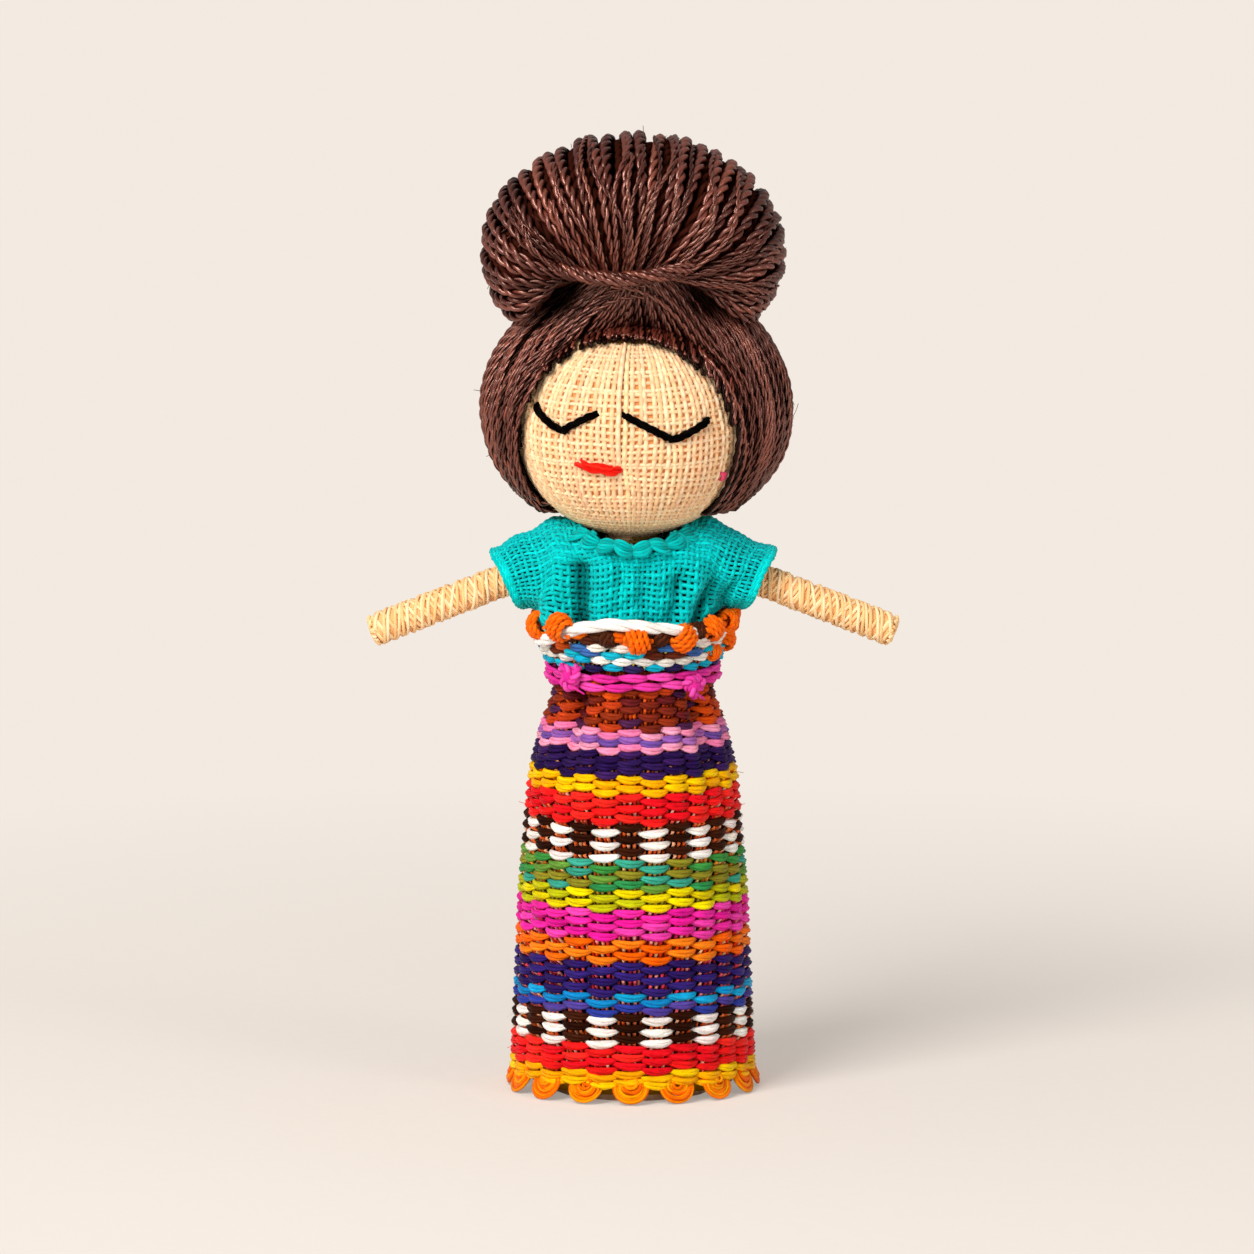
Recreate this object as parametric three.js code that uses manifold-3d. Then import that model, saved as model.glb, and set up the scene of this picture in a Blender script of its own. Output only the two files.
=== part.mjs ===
// Worry doll: a stick figure dressed in woven cloth, with wound arms and a looped thread bun.
// Millimetres, +Z up, the doll looks along -Y and its own left is +X.
import * as THREE from 'three';
import { mergeVertices } from 'three/addons/utils/BufferGeometryUtils.js';
import Module from 'manifold-3d';

const wasm = await Module();
wasm.setup();

// Clearance between pieces that touch on the doll
const gap = 0.3;

// Stick, rolled core and shoulder wire
const stickRadius = 1.1;
const stickIntoHead = 15;
const coreBaseRadius = 8.5;
const coreTopRadius = 3.4;
const coreFloor = 2;
const wireRadius = 0.4;

// Trunk: its size front to back as a share of its width
const trunkDepthRatio = 0.86;

// Skirt: half widths from the hem up to the tied waist
const skirtHeight = 40.8;
const hemHalfWidth = 12;
const kneeHalfWidth = 11.2;
const kneeHeight = 18;
const hipHalfWidth = 10.2;
const hipHeight = 29.5;
const yokeHalfWidth = 9;
const yokeRise = 5;
const waistHalfWidth = 7.75;
const skirtCloth = 0.9;
const pleatDepth = 0.75;
const pleatReach = 14;
const pleatAngles = [-136, -24, 44, 156];
const pleatSpread = 11;

// Looped fringe of the hem
const hemCordRadius = 0.45;
const hemLoopRadius = 0.65;
const hemLoops = 16;
const hemLift = 0.05;

// Waist tie and its two knots
const tieCordRadius = 0.35;
const tieRowHeight = 1.12;
const tieTurns = 2;
const knotRadius = 0.9;
const knotAngle = 42;

// Sash, its looped fringe and the white cord laid over it
const sashHalfWidth = 9.7;
const sashHeight = 2.6;
const sashBulge = 0.55;
const sashCloth = 1.2;
const sashCordRadius = 0.4;
const sashLoopRadius = 0.5;
const sashLoops = 12;
const whiteCordRadius = 0.62;
const whiteCordRoute = [[-150, -2.1], [-128, 0.8], [-90, 0.97], [-52, 0.16]];

// Blouse with short open sleeves
const blouseCloth = 0.7;
const blouseFoldDepth = 0.6;
const blouseFoldAngles = [-128, -38, 60, 130];
const blouseFoldSpread = 14;
const blouseTopRise = 3.7;
const sleeveUpperReach = 14.8;
const sleeveUpperDrop = 3.6;
const sleeveLowerReach = 10.7;
const sleeveHalfDepth = 3.7;
const shoulderCorner = 8.6;
const neckHoleHalfWidth = 5.7;

// Shoulders and arms
const shoulderRise = 7.1;
const shoulderReach = 8;
const shoulderPadHalfWidth = 5;
const armLength = 19.2;
const armCoreRadius = 0.75;
const armDroop = 21.5;
const armThreadRadius = 0.35;
const armTurns = 13;
const armBareRoot = 3.2;

// Head and neck
const headHalfWidth = 11.5;
const headHalfDepth = 11;
const headHalfHeight = 10.7;
const headCloth = 0.7;
const neckRadius = 2.4;
const neckHeight = 1.6;
const neckThreadRadius = 0.22;
const neckThreadPitch = 0.9;
const neckThreadTurns = 1.25;
const faceYaw = -12;

// Face stitches, through [angle from the face's middle, height as a share of the head's half height]
const eyeThreadRadius = 0.32;
const lipThreadRadius = 0.5;
const earThreadRadius = 0.32;
const rightEyeStitch = [[-49, 0.3], [-26, 0.103], [-7, 0.29]];
const leftEyeStitch = [[7, 0.29], [32, 0.047], [54, 0.206]];
const mouthStitch = [[-19, -0.196], [4, -0.234]];
const earStitch = [[60, -0.318], [61, -0.393]];

// Hair laid over the head
const hairSide = 4.1;
const hairTop = 4.4;
const hairHalfHeight = 13.4;
const hairHalfDepth = 13.2;
const hairSetBack = 2;
const hairHemAboveChin = 2.6;
const faceOpeningHalfWidth = 10.9;
const faceOpeningHalfHeight = 10.6;
const faceOpeningDrop = 0.6;
const faceOpeningShift = -0.7;

// Bun of looped cord, gathered on the crown
const bunHalfWidth = 14.75;
const bunHalfHeight = 11.4;
const bunHalfDepth = 9.5;
const bunRise = 2.7;
const bunCordRadius = 0.45;
const bunLayerStep = 1;
const bunLoops = 18;
const bunGatherHalfWidth = 8;
const bunGatherArch = 3.6;
const bunFanStart = -33;
const bunFanEnd = 213;
const bunTieRadius = 0.5;

// Heights and half widths that follow from the sizes above
const hemTop = hemLift + 2 * (hemLoopRadius + hemCordRadius);
const skirtBottom = hemTop + gap;
const waistTop = skirtBottom + skirtHeight;
const waistBand = tieTurns * tieRowHeight + 2 * tieCordRadius + gap;
const sashBottom = waistTop + gap;
const sashTop = sashBottom + sashHeight;
const fringeLean = THREE.MathUtils.degToRad(28);
const fringeHalfWidth = sashHalfWidth - sashBulge;
const fringeHalfThick = sashLoopRadius * Math.sin(fringeLean) + sashCordRadius;
const fringeZ = sashTop + gap + sashLoopRadius + sashCordRadius;
const blouseBottom = fringeZ + sashLoopRadius + sashCordRadius + gap;
const bodiceHalfWidth = fringeHalfWidth - fringeHalfThick - gap;
const bodiceHalfDepth = fringeHalfWidth * trunkDepthRatio - fringeHalfThick - gap;
const torsoInset = blouseCloth + blouseFoldDepth + gap;
const shoulderZ = sashTop + shoulderRise;
const blouseTop = shoulderZ + blouseTopRise;
const torsoBottom = sashTop - gap;
const torsoTop = shoulderZ + wireRadius + 2 * gap;
const neckBottom = torsoTop + gap;
const chinZ = neckBottom + neckHeight;
const headZ = chinZ + headHalfHeight;
const hairHalfWidth = headHalfWidth + hairSide;
const hairZ = headHalfHeight + hairTop - hairHalfHeight;
const bunZ = headHalfHeight + hairTop + bunRise;
const armWindRadius = armCoreRadius + gap + armThreadRadius;

// Facets round the trunk, the head and a cord
const trunkFacets = 36;
const headFacets = 24;
const cordSides = 5;
const bunLoopSteps = 13;
const blouseFacets = 20;
const mergeDistance = 1e-4;

const degrees = THREE.MathUtils.degToRad;
const vector = (x, y, z) => new THREE.Vector3(x, y, z);

// A curve given by a formula of 0 to 1
class FormulaCurve extends THREE.Curve {
  constructor(formula, divisions) {
    super();
    this.formula = formula;
    this.arcLengthDivisions = divisions;
  }

  getPoint(t, target = new THREE.Vector3()) {
    return target.copy(this.formula(t));
  }
}

function regularSection(radius, sides) {
  const corners = [];
  for (let i = 0; i < sides; i++) {
    const angle = (2 * Math.PI * i) / sides;
    corners.push(new THREE.Vector2(radius * Math.cos(angle), radius * Math.sin(angle)));
  }
  return new THREE.Shape(corners);
}

function cord(path, radius, steps, sides = cordSides) {
  const options = { steps, extrudePath: path, bevelEnabled: false };
  return new THREE.ExtrudeGeometry(regularSection(radius, sides), options);
}

// Least distance between the skins of a cord's neighbouring turns, on points along its centre
function printLeastGap(name, path, radius, samples) {
  const points = path.getSpacedPoints(samples);
  const stride = path.getLength() / samples;
  const apart = Math.ceil((6 * radius) / stride);
  let least = Infinity;
  for (let i = 0; i < points.length; i++) {
    for (let j = i + apart; j < points.length; j++) {
      least = Math.min(least, points[i].distanceTo(points[j]));
    }
  }
  console.log(`${name}: least gap to itself ${(least - 2 * radius).toFixed(2)} mm`);
}

function signedVolume(geometry) {
  const corner = (i) => vector().fromBufferAttribute(geometry.attributes.position, geometry.index.getX(i));
  let volume = 0;
  for (let f = 0; f < geometry.index.count; f += 3) {
    volume += corner(f).dot(corner(f + 1).cross(corner(f + 2))) / 6;
  }
  return volume;
}

function facedOut(geometry) {
  if (signedVolume(geometry) < 0) geometry.setIndex(Array.from(geometry.index.array).reverse());
  return geometry;
}

// Rings of equal count joined in order: a closed band when looped, otherwise capped at both ends
function skin(rings, looped = false) {
  const count = rings[0].length;
  const last = (rings.length - 1) * count;
  const faces = [];
  for (let r = 0; r < (looped ? rings.length : rings.length - 1); r++) {
    const here = r * count;
    const next = ((r + 1) % rings.length) * count;
    for (let i = 0; i < count; i++) {
      const j = (i + 1) % count;
      faces.push(here + i, here + j, next + j, here + i, next + j, next + i);
    }
  }
  for (let i = 1; i < count - 1 && !looped; i++) {
    faces.push(0, i + 1, i, last, last + i, last + i + 1);
  }
  const geometry = new THREE.BufferGeometry().setFromPoints(rings.flat());
  geometry.setIndex(faces);
  return facedOut(geometry);
}

// A profile of [radius, height] pairs turned about Z
function turned(profile, facets, depthRatio = 1) {
  const points = profile.map(([radius, height]) => new THREE.Vector2(radius, height));
  const lathe = new THREE.LatheGeometry(points, facets);
  return facedOut(lathe.rotateX(Math.PI / 2).rotateZ(Math.PI / 2).scale(1, depthRatio, 1));
}

function ellipsoid(halfX, halfY, halfZ, facets = headFacets) {
  const ball = new THREE.SphereGeometry(1, facets, Math.round(facets * 0.6));
  return ball.rotateX(Math.PI / 2).scale(halfX, halfY, halfZ);
}

function ellipseRing(halfX, halfY, z, facets, dentAt = () => 0) {
  const ring = [];
  for (let i = 0; i < facets; i++) {
    const angle = (2 * Math.PI * i) / facets;
    const dent = dentAt(angle);
    ring.push(vector((halfX - dent) * Math.cos(angle), (halfY - dent) * Math.sin(angle), z));
  }
  return ring;
}

// Soft dents at some fold angles, 1 on a fold and 0 away from it
function folds(angles, width) {
  return (angle) => {
    const depths = angles.map((fold) => {
      const turn = angle - degrees(fold);
      const away = Math.atan2(Math.sin(turn), Math.cos(turn));
      return Math.exp(-((away / degrees(width)) ** 2));
    });
    return Math.max(...depths);
  };
}

function toSolid(geometry) {
  const bare = geometry.clone();
  bare.deleteAttribute('normal');
  bare.deleteAttribute('uv');
  const merged = mergeVertices(bare, mergeDistance);
  const corners = merged.index.array;
  const kept = [];
  for (let f = 0; f < corners.length; f += 3) {
    const [a, b, c] = corners.slice(f, f + 3);
    if (a !== b && b !== c && c !== a) kept.push(a, b, c);
  }
  const vertProperties = new Float32Array(merged.attributes.position.array);
  const triVerts = new Uint32Array(kept);
  return new wasm.Manifold(new wasm.Mesh({ numProp: 3, vertProperties, triVerts }));
}

function toGeometry(solid) {
  const mesh = solid.getMesh();
  const geometry = new THREE.BufferGeometry();
  geometry.setAttribute('position', new THREE.BufferAttribute(mesh.vertProperties, 3));
  geometry.setIndex(new THREE.BufferAttribute(mesh.triVerts, 1));
  return geometry;
}

function cut(body, ...tools) {
  return toGeometry(tools.reduce((solid, tool) => solid.subtract(toSolid(tool)), toSolid(body)));
}

const finish = {
  wood: { color: '#b98d5c', roughness: 0.8 },
  card: { color: '#b9a27c', roughness: 0.95 },
  wadding: { color: '#ece5d6', roughness: 1 },
  wire: { color: '#8d8f92', roughness: 0.35, metalness: 1 },
  weave: { color: '#b8344f', roughness: 0.85 },
  sash: { color: '#3c8fae', roughness: 0.85 },
  orange: { color: '#ea6a10', roughness: 0.7 },
  pink: { color: '#d62fa0', roughness: 0.65 },
  white: { color: '#f1eee6', roughness: 0.7 },
  teal: { color: '#12a6a0', roughness: 0.85 },
  tan: { color: '#dcb98a', roughness: 0.75 },
  gauze: { color: '#ecd2a4', roughness: 0.9 },
  black: { color: '#17130f', roughness: 0.6 },
  red: { color: '#d8261c', roughness: 0.6 },
  hair: { color: '#3d2020', roughness: 0.45 },
};

function piece(name, geometry, look) {
  const mesh = new THREE.Mesh(geometry, new THREE.MeshStandardMaterial({ metalness: 0, ...look }));
  mesh.name = name;
  return mesh;
}

// Stick that runs from the rolled core into the head
function spineStick() {
  const bottom = coreFloor + gap;
  const length = chinZ + stickIntoHead - bottom;
  const stick = new THREE.CylinderGeometry(stickRadius, stickRadius, length, 14);
  stick.rotateX(Math.PI / 2).translate(0, 0, bottom + length / 2);
  return piece('spine_stick', stick, finish.wood);
}

// Card rolled to a cone, closed below, that the doll stands on
function coreRoll() {
  const bore = stickRadius + gap;
  const profile = [
    [0, 0], [coreBaseRadius, 0], [coreTopRadius, sashBottom],
    [bore, sashBottom], [bore, coreFloor], [0, coreFloor],
  ];
  return piece('core_roll', turned(profile, trunkFacets / 2), finish.card);
}

// Skirt outline as [half width, height] pairs from the hem up
const yokeHeight = hipHeight + yokeRise;
const skirtOutline = [
  [hemHalfWidth, skirtBottom],
  [kneeHalfWidth, skirtBottom + kneeHeight],
  [hipHalfWidth, skirtBottom + hipHeight],
  [yokeHalfWidth, skirtBottom + yokeHeight],
  [waistHalfWidth, waistTop - waistBand],
  [waistHalfWidth, waistTop],
];

// Pleats drawn in under the waist tie, which open out further down
const pleats = folds(pleatAngles, pleatSpread);

function skirtRing(inset) {
  return ([halfWidth, z]) => {
    const drawn = pleatDepth * THREE.MathUtils.smoothstep(z, waistTop - pleatReach, waistTop - waistBand);
    const halfDepth = halfWidth * trunkDepthRatio - inset;
    return ellipseRing(halfWidth - inset, halfDepth, z, trunkFacets, (angle) => drawn * pleats(angle));
  };
}

function skirt() {
  const outer = skirtOutline.map(skirtRing(0));
  const inner = skirtOutline.map(skirtRing(skirtCloth)).reverse();
  return piece('skirt_cloth', skin([...outer, ...inner], true), finish.weave);
}

// Wadding between the core and the skirt, wider again inside the sash
function skirtPadding() {
  const facets = trunkFacets / 2;
  const top = torsoBottom - gap;
  const inset = skirtCloth + pleatDepth + gap;
  const drawnIn = [waistHalfWidth, sashBottom];
  const inSash = fringeHalfWidth - sashCloth - gap + inset;
  const outline = [...skirtOutline.slice(0, -1), drawnIn, [inSash, sashBottom + gap], [inSash, top]];
  const outer = outline.map(([halfWidth, z]) =>
    ellipseRing(halfWidth - inset, halfWidth * trunkDepthRatio - inset, z, facets));
  const boreAt = (z) => {
    const cone = THREE.MathUtils.lerp(coreBaseRadius, coreTopRadius, z / sashBottom) + gap;
    return ellipseRing(cone, cone, z, facets);
  };
  return piece('skirt_padding', skin([...outer, boreAt(top), boreAt(skirtBottom)], true), finish.wadding);
}

// Fringe of leaning loops round the trunk, one cord, open at the back
function fringePath(halfWidth, middleZ, loopRadius, loops) {
  const sweep = 2 * Math.PI * (1 - 1 / loops);
  const start = Math.PI / 2 + Math.PI / loops;
  const halfDepth = halfWidth * trunkDepthRatio;
  return new FormulaCurve((t) => {
    const angle = start + sweep * t;
    const along = vector(-halfWidth * Math.sin(angle), halfDepth * Math.cos(angle), 0).normalize();
    const outward = vector(along.y, -along.x, 0);
    const lean = along.multiplyScalar(Math.cos(fringeLean)).addScaledVector(outward, Math.sin(fringeLean));
    const turn = 2 * Math.PI * loops * t;
    return vector(halfWidth * Math.cos(angle), halfDepth * Math.sin(angle), middleZ)
      .addScaledVector(lean, loopRadius * Math.cos(turn))
      .add(vector(0, 0, loopRadius * Math.sin(turn)));
  }, loops * 40);
}

function hemFringe() {
  const middle = hemLift + hemLoopRadius + hemCordRadius;
  const path = fringePath(hemHalfWidth - skirtCloth / 2, middle, hemLoopRadius, hemLoops);
  printLeastGap('hem_loop_cord', path, hemCordRadius, hemLoops * 24);
  return piece('hem_loop_cord', cord(path, hemCordRadius, hemLoops * 8), finish.orange);
}

// Cord wound round the drawn-in waist
function waistTie() {
  const halfWidth = waistHalfWidth + gap + tieCordRadius;
  const halfDepth = waistHalfWidth * trunkDepthRatio + gap + tieCordRadius;
  const bottom = waistTop - waistBand / 2 - (tieTurns * tieRowHeight) / 2;
  const path = new FormulaCurve((t) => {
    const angle = Math.PI / 2 + 2 * Math.PI * tieTurns * t;
    const z = bottom + tieTurns * tieRowHeight * t;
    return vector(halfWidth * Math.cos(angle), halfDepth * Math.sin(angle), z);
  }, tieTurns * 60);
  printLeastGap('waist_tie', path, tieCordRadius, tieTurns * 48);
  return piece('waist_tie', cord(path, tieCordRadius, tieTurns * 16), finish.pink);
}

// Knots of the waist tie, in front of it on both sides
function tieKnot(name, angle) {
  const out = gap + 2 * tieCordRadius + gap + knotRadius;
  const x = (waistHalfWidth + out) * Math.cos(degrees(angle));
  const y = (waistHalfWidth * trunkDepthRatio + out) * Math.sin(degrees(angle));
  const knot = ellipsoid(knotRadius, knotRadius, knotRadius, 10);
  return piece(name, knot.translate(x, y, waistTop - waistBand / 2), finish.pink);
}

// Folded band with a swelling face
function waistSash() {
  const ring = (halfWidth, z) => ellipseRing(halfWidth, halfWidth * trunkDepthRatio, z, trunkFacets);
  const inside = fringeHalfWidth - sashCloth;
  const insideDepth = fringeHalfWidth * trunkDepthRatio - sashCloth;
  const insideRing = (z) => ellipseRing(inside, insideDepth, z, trunkFacets);
  const rings = [
    ring(fringeHalfWidth, sashBottom), ring(sashHalfWidth, sashBottom + sashHeight / 2),
    ring(fringeHalfWidth, sashTop), insideRing(sashTop), insideRing(sashBottom),
  ];
  return piece('waist_sash', skin(rings, true), finish.sash);
}

function sashFringe() {
  const path = fringePath(fringeHalfWidth, fringeZ, sashLoopRadius, sashLoops);
  printLeastGap('sash_loop_cord', path, sashCordRadius, sashLoops * 24);
  return piece('sash_loop_cord', cord(path, sashCordRadius, sashLoops * 8), finish.orange);
}

// White cord across the front of the sash, by its angle and its height over the fringe in cord radii
function whiteCord() {
  const out = fringeHalfThick + gap + whiteCordRadius;
  const points = whiteCordRoute.map(([angle, rise]) => vector(
    (fringeHalfWidth + out) * Math.cos(degrees(angle)),
    (fringeHalfWidth * trunkDepthRatio + out) * Math.sin(degrees(angle)),
    fringeZ + rise * whiteCordRadius,
  ));
  const path = new THREE.CatmullRomCurve3(points);
  return piece('white_cord', cord(path, whiteCordRadius, 18, 8), finish.white);
}

// Wire through the shoulders, passing behind the stick and ending at the arms
function shoulderWirePath() {
  const end = shoulderReach - armCoreRadius - gap;
  const behind = stickRadius + gap + wireRadius + 2 * gap;
  const bend = shoulderPadHalfWidth - wireRadius;
  return new THREE.CatmullRomCurve3([
    vector(-end, 0, shoulderZ), vector(-bend, 0, shoulderZ), vector(0, behind, shoulderZ),
    vector(bend, 0, shoulderZ), vector(end, 0, shoulderZ),
  ]);
}

function shoulderWire() {
  return piece('shoulder_wire', cord(shoulderWirePath(), wireRadius, 16, 6), finish.wire);
}

// Wadding of the chest and shoulders, bored for the stick and the wire
function torsoPadding() {
  const facets = trunkFacets / 2;
  const halfWidth = bodiceHalfWidth - torsoInset;
  const halfDepth = bodiceHalfDepth - torsoInset;
  const slope = shoulderPadHalfWidth / halfWidth;
  const chest = ellipseRing(halfWidth, halfDepth, torsoBottom, facets);
  const shoulder = ellipseRing(halfWidth, halfDepth, shoulderZ - shoulderPadHalfWidth / 2, facets);
  const top = ellipseRing(halfWidth * slope, halfDepth * slope, torsoTop, facets);
  const reach = torsoTop - torsoBottom + gap;
  const bore = new THREE.CylinderGeometry(stickRadius + gap, stickRadius + gap, 2 * reach, 14);
  bore.rotateX(Math.PI / 2).translate(0, 0, torsoBottom);
  const channel = cord(shoulderWirePath(), wireRadius + gap, 16, 6);
  return piece('torso_padding', cut(skin([chest, shoulder, top]), bore, channel), finish.wadding);
}

// Blouse: a bodice with folds joined to a wide sleeve piece, hollowed by the same shapes set in
const blouseFolds = folds(blouseFoldAngles, blouseFoldSpread);

function bodice(inset, past) {
  const sunk = (angle) => blouseFoldDepth * blouseFolds(angle);
  const plain = () => 0;
  const neckHalfWidth = neckHoleHalfWidth + blouseCloth - inset;
  const neckHalfDepth = neckHoleHalfWidth * trunkDepthRatio + blouseCloth - inset;
  const halfWidth = bodiceHalfWidth - inset;
  const halfDepth = bodiceHalfDepth - inset;
  const ring = (z, dents) => ellipseRing(halfWidth, halfDepth, z, blouseFacets, dents);
  return skin([
    ring(sashTop + gap - past, plain),
    ring(blouseBottom, sunk),
    ring(shoulderZ - wireRadius, sunk),
    ellipseRing(neckHalfWidth, neckHalfDepth, blouseTop - blouseCloth, blouseFacets),
    ellipseRing(neckHalfWidth, neckHalfDepth, blouseTop - blouseCloth / 2 + past, blouseFacets),
  ]);
}

// Sections across the sleeves, from a lower point to an upper point, along the shares of the reach
function sleeves(inset, past) {
  const corner = shoulderCorner / sleeveUpperReach;
  const shares = [0, corner / 2, corner, (1 + corner) / 2, 1 + past];
  const section = (share) => {
    const lower = vector(sleeveLowerReach * share, 0, blouseBottom);
    const beyond = Math.max(0, Math.abs(share) - corner) / (1 - corner);
    const upper = vector(sleeveUpperReach * share, 0, blouseTop - sleeveUpperDrop * beyond);
    const middle = lower.clone().lerp(upper, 0.5);
    const half = upper.clone().sub(lower).multiplyScalar(0.5);
    half.setLength(half.length() - inset);
    const narrowing = Math.min(1, Math.abs(share));
    const depth = THREE.MathUtils.lerp(bodiceHalfDepth, sleeveHalfDepth, narrowing) - inset;
    return ellipseRing(1, 1, 0, 14).map((p) =>
      middle.clone().addScaledVector(half, p.x).add(vector(0, depth * p.y, 0)));
  };
  const mirrored = shares.slice(1).reverse().map((share) => -share);
  return skin([...mirrored, ...shares].map(section));
}

function blouse() {
  const outer = toSolid(bodice(0, 0)).add(toSolid(sleeves(0, 0)));
  const inner = toSolid(bodice(blouseCloth, 1)).add(toSolid(sleeves(blouseCloth, 0.2)));
  return piece('blouse', toGeometry(outer.subtract(inner)), finish.teal);
}

// Arm: a stiff core with a round inner end at the shoulder, wound with thread
function arm(side, sideName) {
  const group = new THREE.Group();
  group.position.set(side * shoulderReach, 0, shoulderZ);
  group.rotation.y = side * degrees(armDroop);
  const profile = [];
  for (let i = 0; i <= 3; i++) {
    const angle = (Math.PI / 2) * (i / 3 - 1);
    profile.push([armCoreRadius * Math.cos(angle), armCoreRadius * Math.sin(angle)]);
  }
  profile[0][0] = 0;
  profile.push([armCoreRadius, armLength], [0, armLength]);
  const core = turned(profile, 12).rotateY((side * Math.PI) / 2);
  const run = armLength - armBareRoot - 2 * armThreadRadius;
  const path = new FormulaCurve((t) => {
    const angle = 2 * Math.PI * armTurns * t;
    const along = side * (armBareRoot + armThreadRadius + run * t);
    return vector(along, armWindRadius * Math.cos(angle), armWindRadius * Math.sin(angle));
  }, armTurns * 30);
  printLeastGap(`${sideName}_arm_winding`, path, armThreadRadius, armTurns * 24);
  group.add(piece(`${sideName}_arm_core`, core, finish.card));
  group.add(piece(`${sideName}_arm_winding`, cord(path, armThreadRadius, armTurns * 7), finish.tan));
  return group;
}

// Quarter turns of an ellipse from the crown down to a radius near the axis, as [radius, height] pairs
function headArc(halfWidth, halfHeight, endRadius, steps) {
  const end = -Math.acos(endRadius / halfWidth);
  const arc = [];
  for (let i = 0; i <= steps; i++) {
    const angle = THREE.MathUtils.lerp(Math.PI / 2, end, i / steps);
    arc.push([halfWidth * Math.cos(angle), halfHeight * Math.sin(angle)]);
  }
  arc[0][0] = 0;
  return arc;
}

const headDepthRatio = headHalfDepth / headHalfWidth;
const neckBore = stickRadius / headDepthRatio + gap;

// Cloth drawn over the stuffing and tied in at the neck, open below
function headSkin() {
  const outer = headArc(headHalfWidth, headHalfHeight, neckRadius, 9);
  const inner = headArc(headHalfWidth - headCloth, headHalfHeight - headCloth, neckBore, 9).reverse();
  const bottom = neckBottom - headZ;
  const profile = [...outer, [neckRadius, bottom], [neckBore, bottom], ...inner];
  return piece('head_cloth', turned(profile, headFacets, headDepthRatio), finish.gauze);
}

function headStuffing() {
  const inset = headCloth + gap;
  const outer = headArc(headHalfWidth - inset, headHalfHeight - inset, neckBore, 8);
  const boreTop = chinZ + stickIntoHead + gap - headZ;
  const profile = [...outer, [neckBore, boreTop], [0, boreTop]];
  return piece('head_stuffing', turned(profile, headFacets, headDepthRatio), finish.wadding);
}

// Thread wound round the neck of the head cloth
function neckThread() {
  const out = gap + neckThreadRadius;
  const bottom = neckBottom - headZ + neckThreadRadius;
  const path = new FormulaCurve((t) => {
    const angle = 2 * Math.PI * neckThreadTurns * t;
    const halfDepth = neckRadius * headDepthRatio + out;
    const z = bottom + neckThreadPitch * neckThreadTurns * t;
    return vector((neckRadius + out) * Math.cos(angle), halfDepth * Math.sin(angle), z);
  }, neckThreadTurns * 40);
  printLeastGap('neck_thread', path, neckThreadRadius, neckThreadTurns * 40);
  return piece('neck_thread', cord(path, neckThreadRadius, neckThreadTurns * 16), finish.gauze);
}

// A point over the head cloth, by its angle from the middle of the face and its share of the half height
function overFace(angle, share, lift) {
  const level = Math.sqrt(1 - share ** 2);
  const turn = degrees(angle);
  return vector(
    (headHalfWidth * level + lift) * Math.sin(turn),
    -(headHalfDepth * level + lift) * Math.cos(turn),
    share * (headHalfHeight + lift),
  );
}

// A stitch laid over the face along straight runs between [angle, share of the half height] pairs
function faceStitch(name, route, radius, look) {
  const points = [];
  for (let i = 0; i < route.length - 1; i++) {
    for (let step = 0; step < 3; step++) {
      const between = (from, k) => THREE.MathUtils.lerp(from, route[i + 1][k], step / 3);
      points.push(overFace(...route[i].map(between), gap + radius));
    }
  }
  points.push(overFace(...route.at(-1), gap + radius));
  const path = new THREE.CatmullRomCurve3(points, false, 'centripetal');
  return piece(name, cord(path, radius, points.length * 2, 6), look);
}

// Hair laid over the head, open in front of the face, cut level above the shoulders
function hairCap() {
  const reach = hairHalfDepth * 2;
  const hem = chinZ + hairHemAboveChin - headZ;
  const hair = ellipsoid(hairHalfWidth, hairHalfDepth, hairHalfHeight, headFacets);
  const head = ellipsoid(headHalfWidth + gap, headHalfDepth + gap, headHalfHeight + gap, headFacets);
  const opening = new THREE.CylinderGeometry(1, 1, reach, headFacets);
  opening.scale(faceOpeningHalfWidth, 1, faceOpeningHalfHeight);
  opening.translate(faceOpeningShift, -reach / 2, -faceOpeningDrop);
  const below = new THREE.BoxGeometry(4 * hairHalfWidth, 4 * hairHalfDepth, hairHalfHeight);
  below.translate(0, 0, hem - hairHalfHeight / 2);
  return piece('hair_cap', cut(hair.translate(0, hairSetBack, hairZ), head, opening, below), finish.hair);
}

// Arch on the crown where the loops of the bun are drawn together
const crownAtGather = hairZ + hairHalfHeight * Math.sqrt(1 - (bunGatherHalfWidth / hairHalfWidth) ** 2);
const gatherZ = crownAtGather + gap + bunCordRadius;
const gatherArch = new THREE.EllipseCurve(0, gatherZ, bunGatherHalfWidth, bunGatherArch, 0, Math.PI);

// A point of the bun: share of the fan, turn round the loop (0 at the rim, half a turn at the gather),
// layer at the gather from -1 to 1, and how far it lies inside the cords' centres
function bunPoint(share, turn, layer, inset) {
  const fan = degrees(THREE.MathUtils.lerp(bunFanStart, bunFanEnd, share));
  const rim = vector(bunHalfWidth * Math.cos(fan), 0, bunZ + bunHalfHeight * Math.sin(fan));
  const arch = gatherArch.getPointAt(share);
  const gather = vector(arch.x, 0, arch.y);
  const outward = rim.clone().sub(gather).normalize();
  gather.addScaledVector(outward, bunLayerStep * (1 + layer) + inset);
  rim.addScaledVector(outward, -inset);
  const middle = gather.clone().lerp(rim, 0.5);
  const half = rim.sub(gather).multiplyScalar(0.5);
  const halfDepth = bunHalfDepth * (0.7 + 0.3 * Math.sin(fan)) - inset;
  const y = hairSetBack / 2 - halfDepth * Math.sin(turn);
  return middle.addScaledVector(half, Math.cos(turn)).add(vector(0, y, 0));
}

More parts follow.
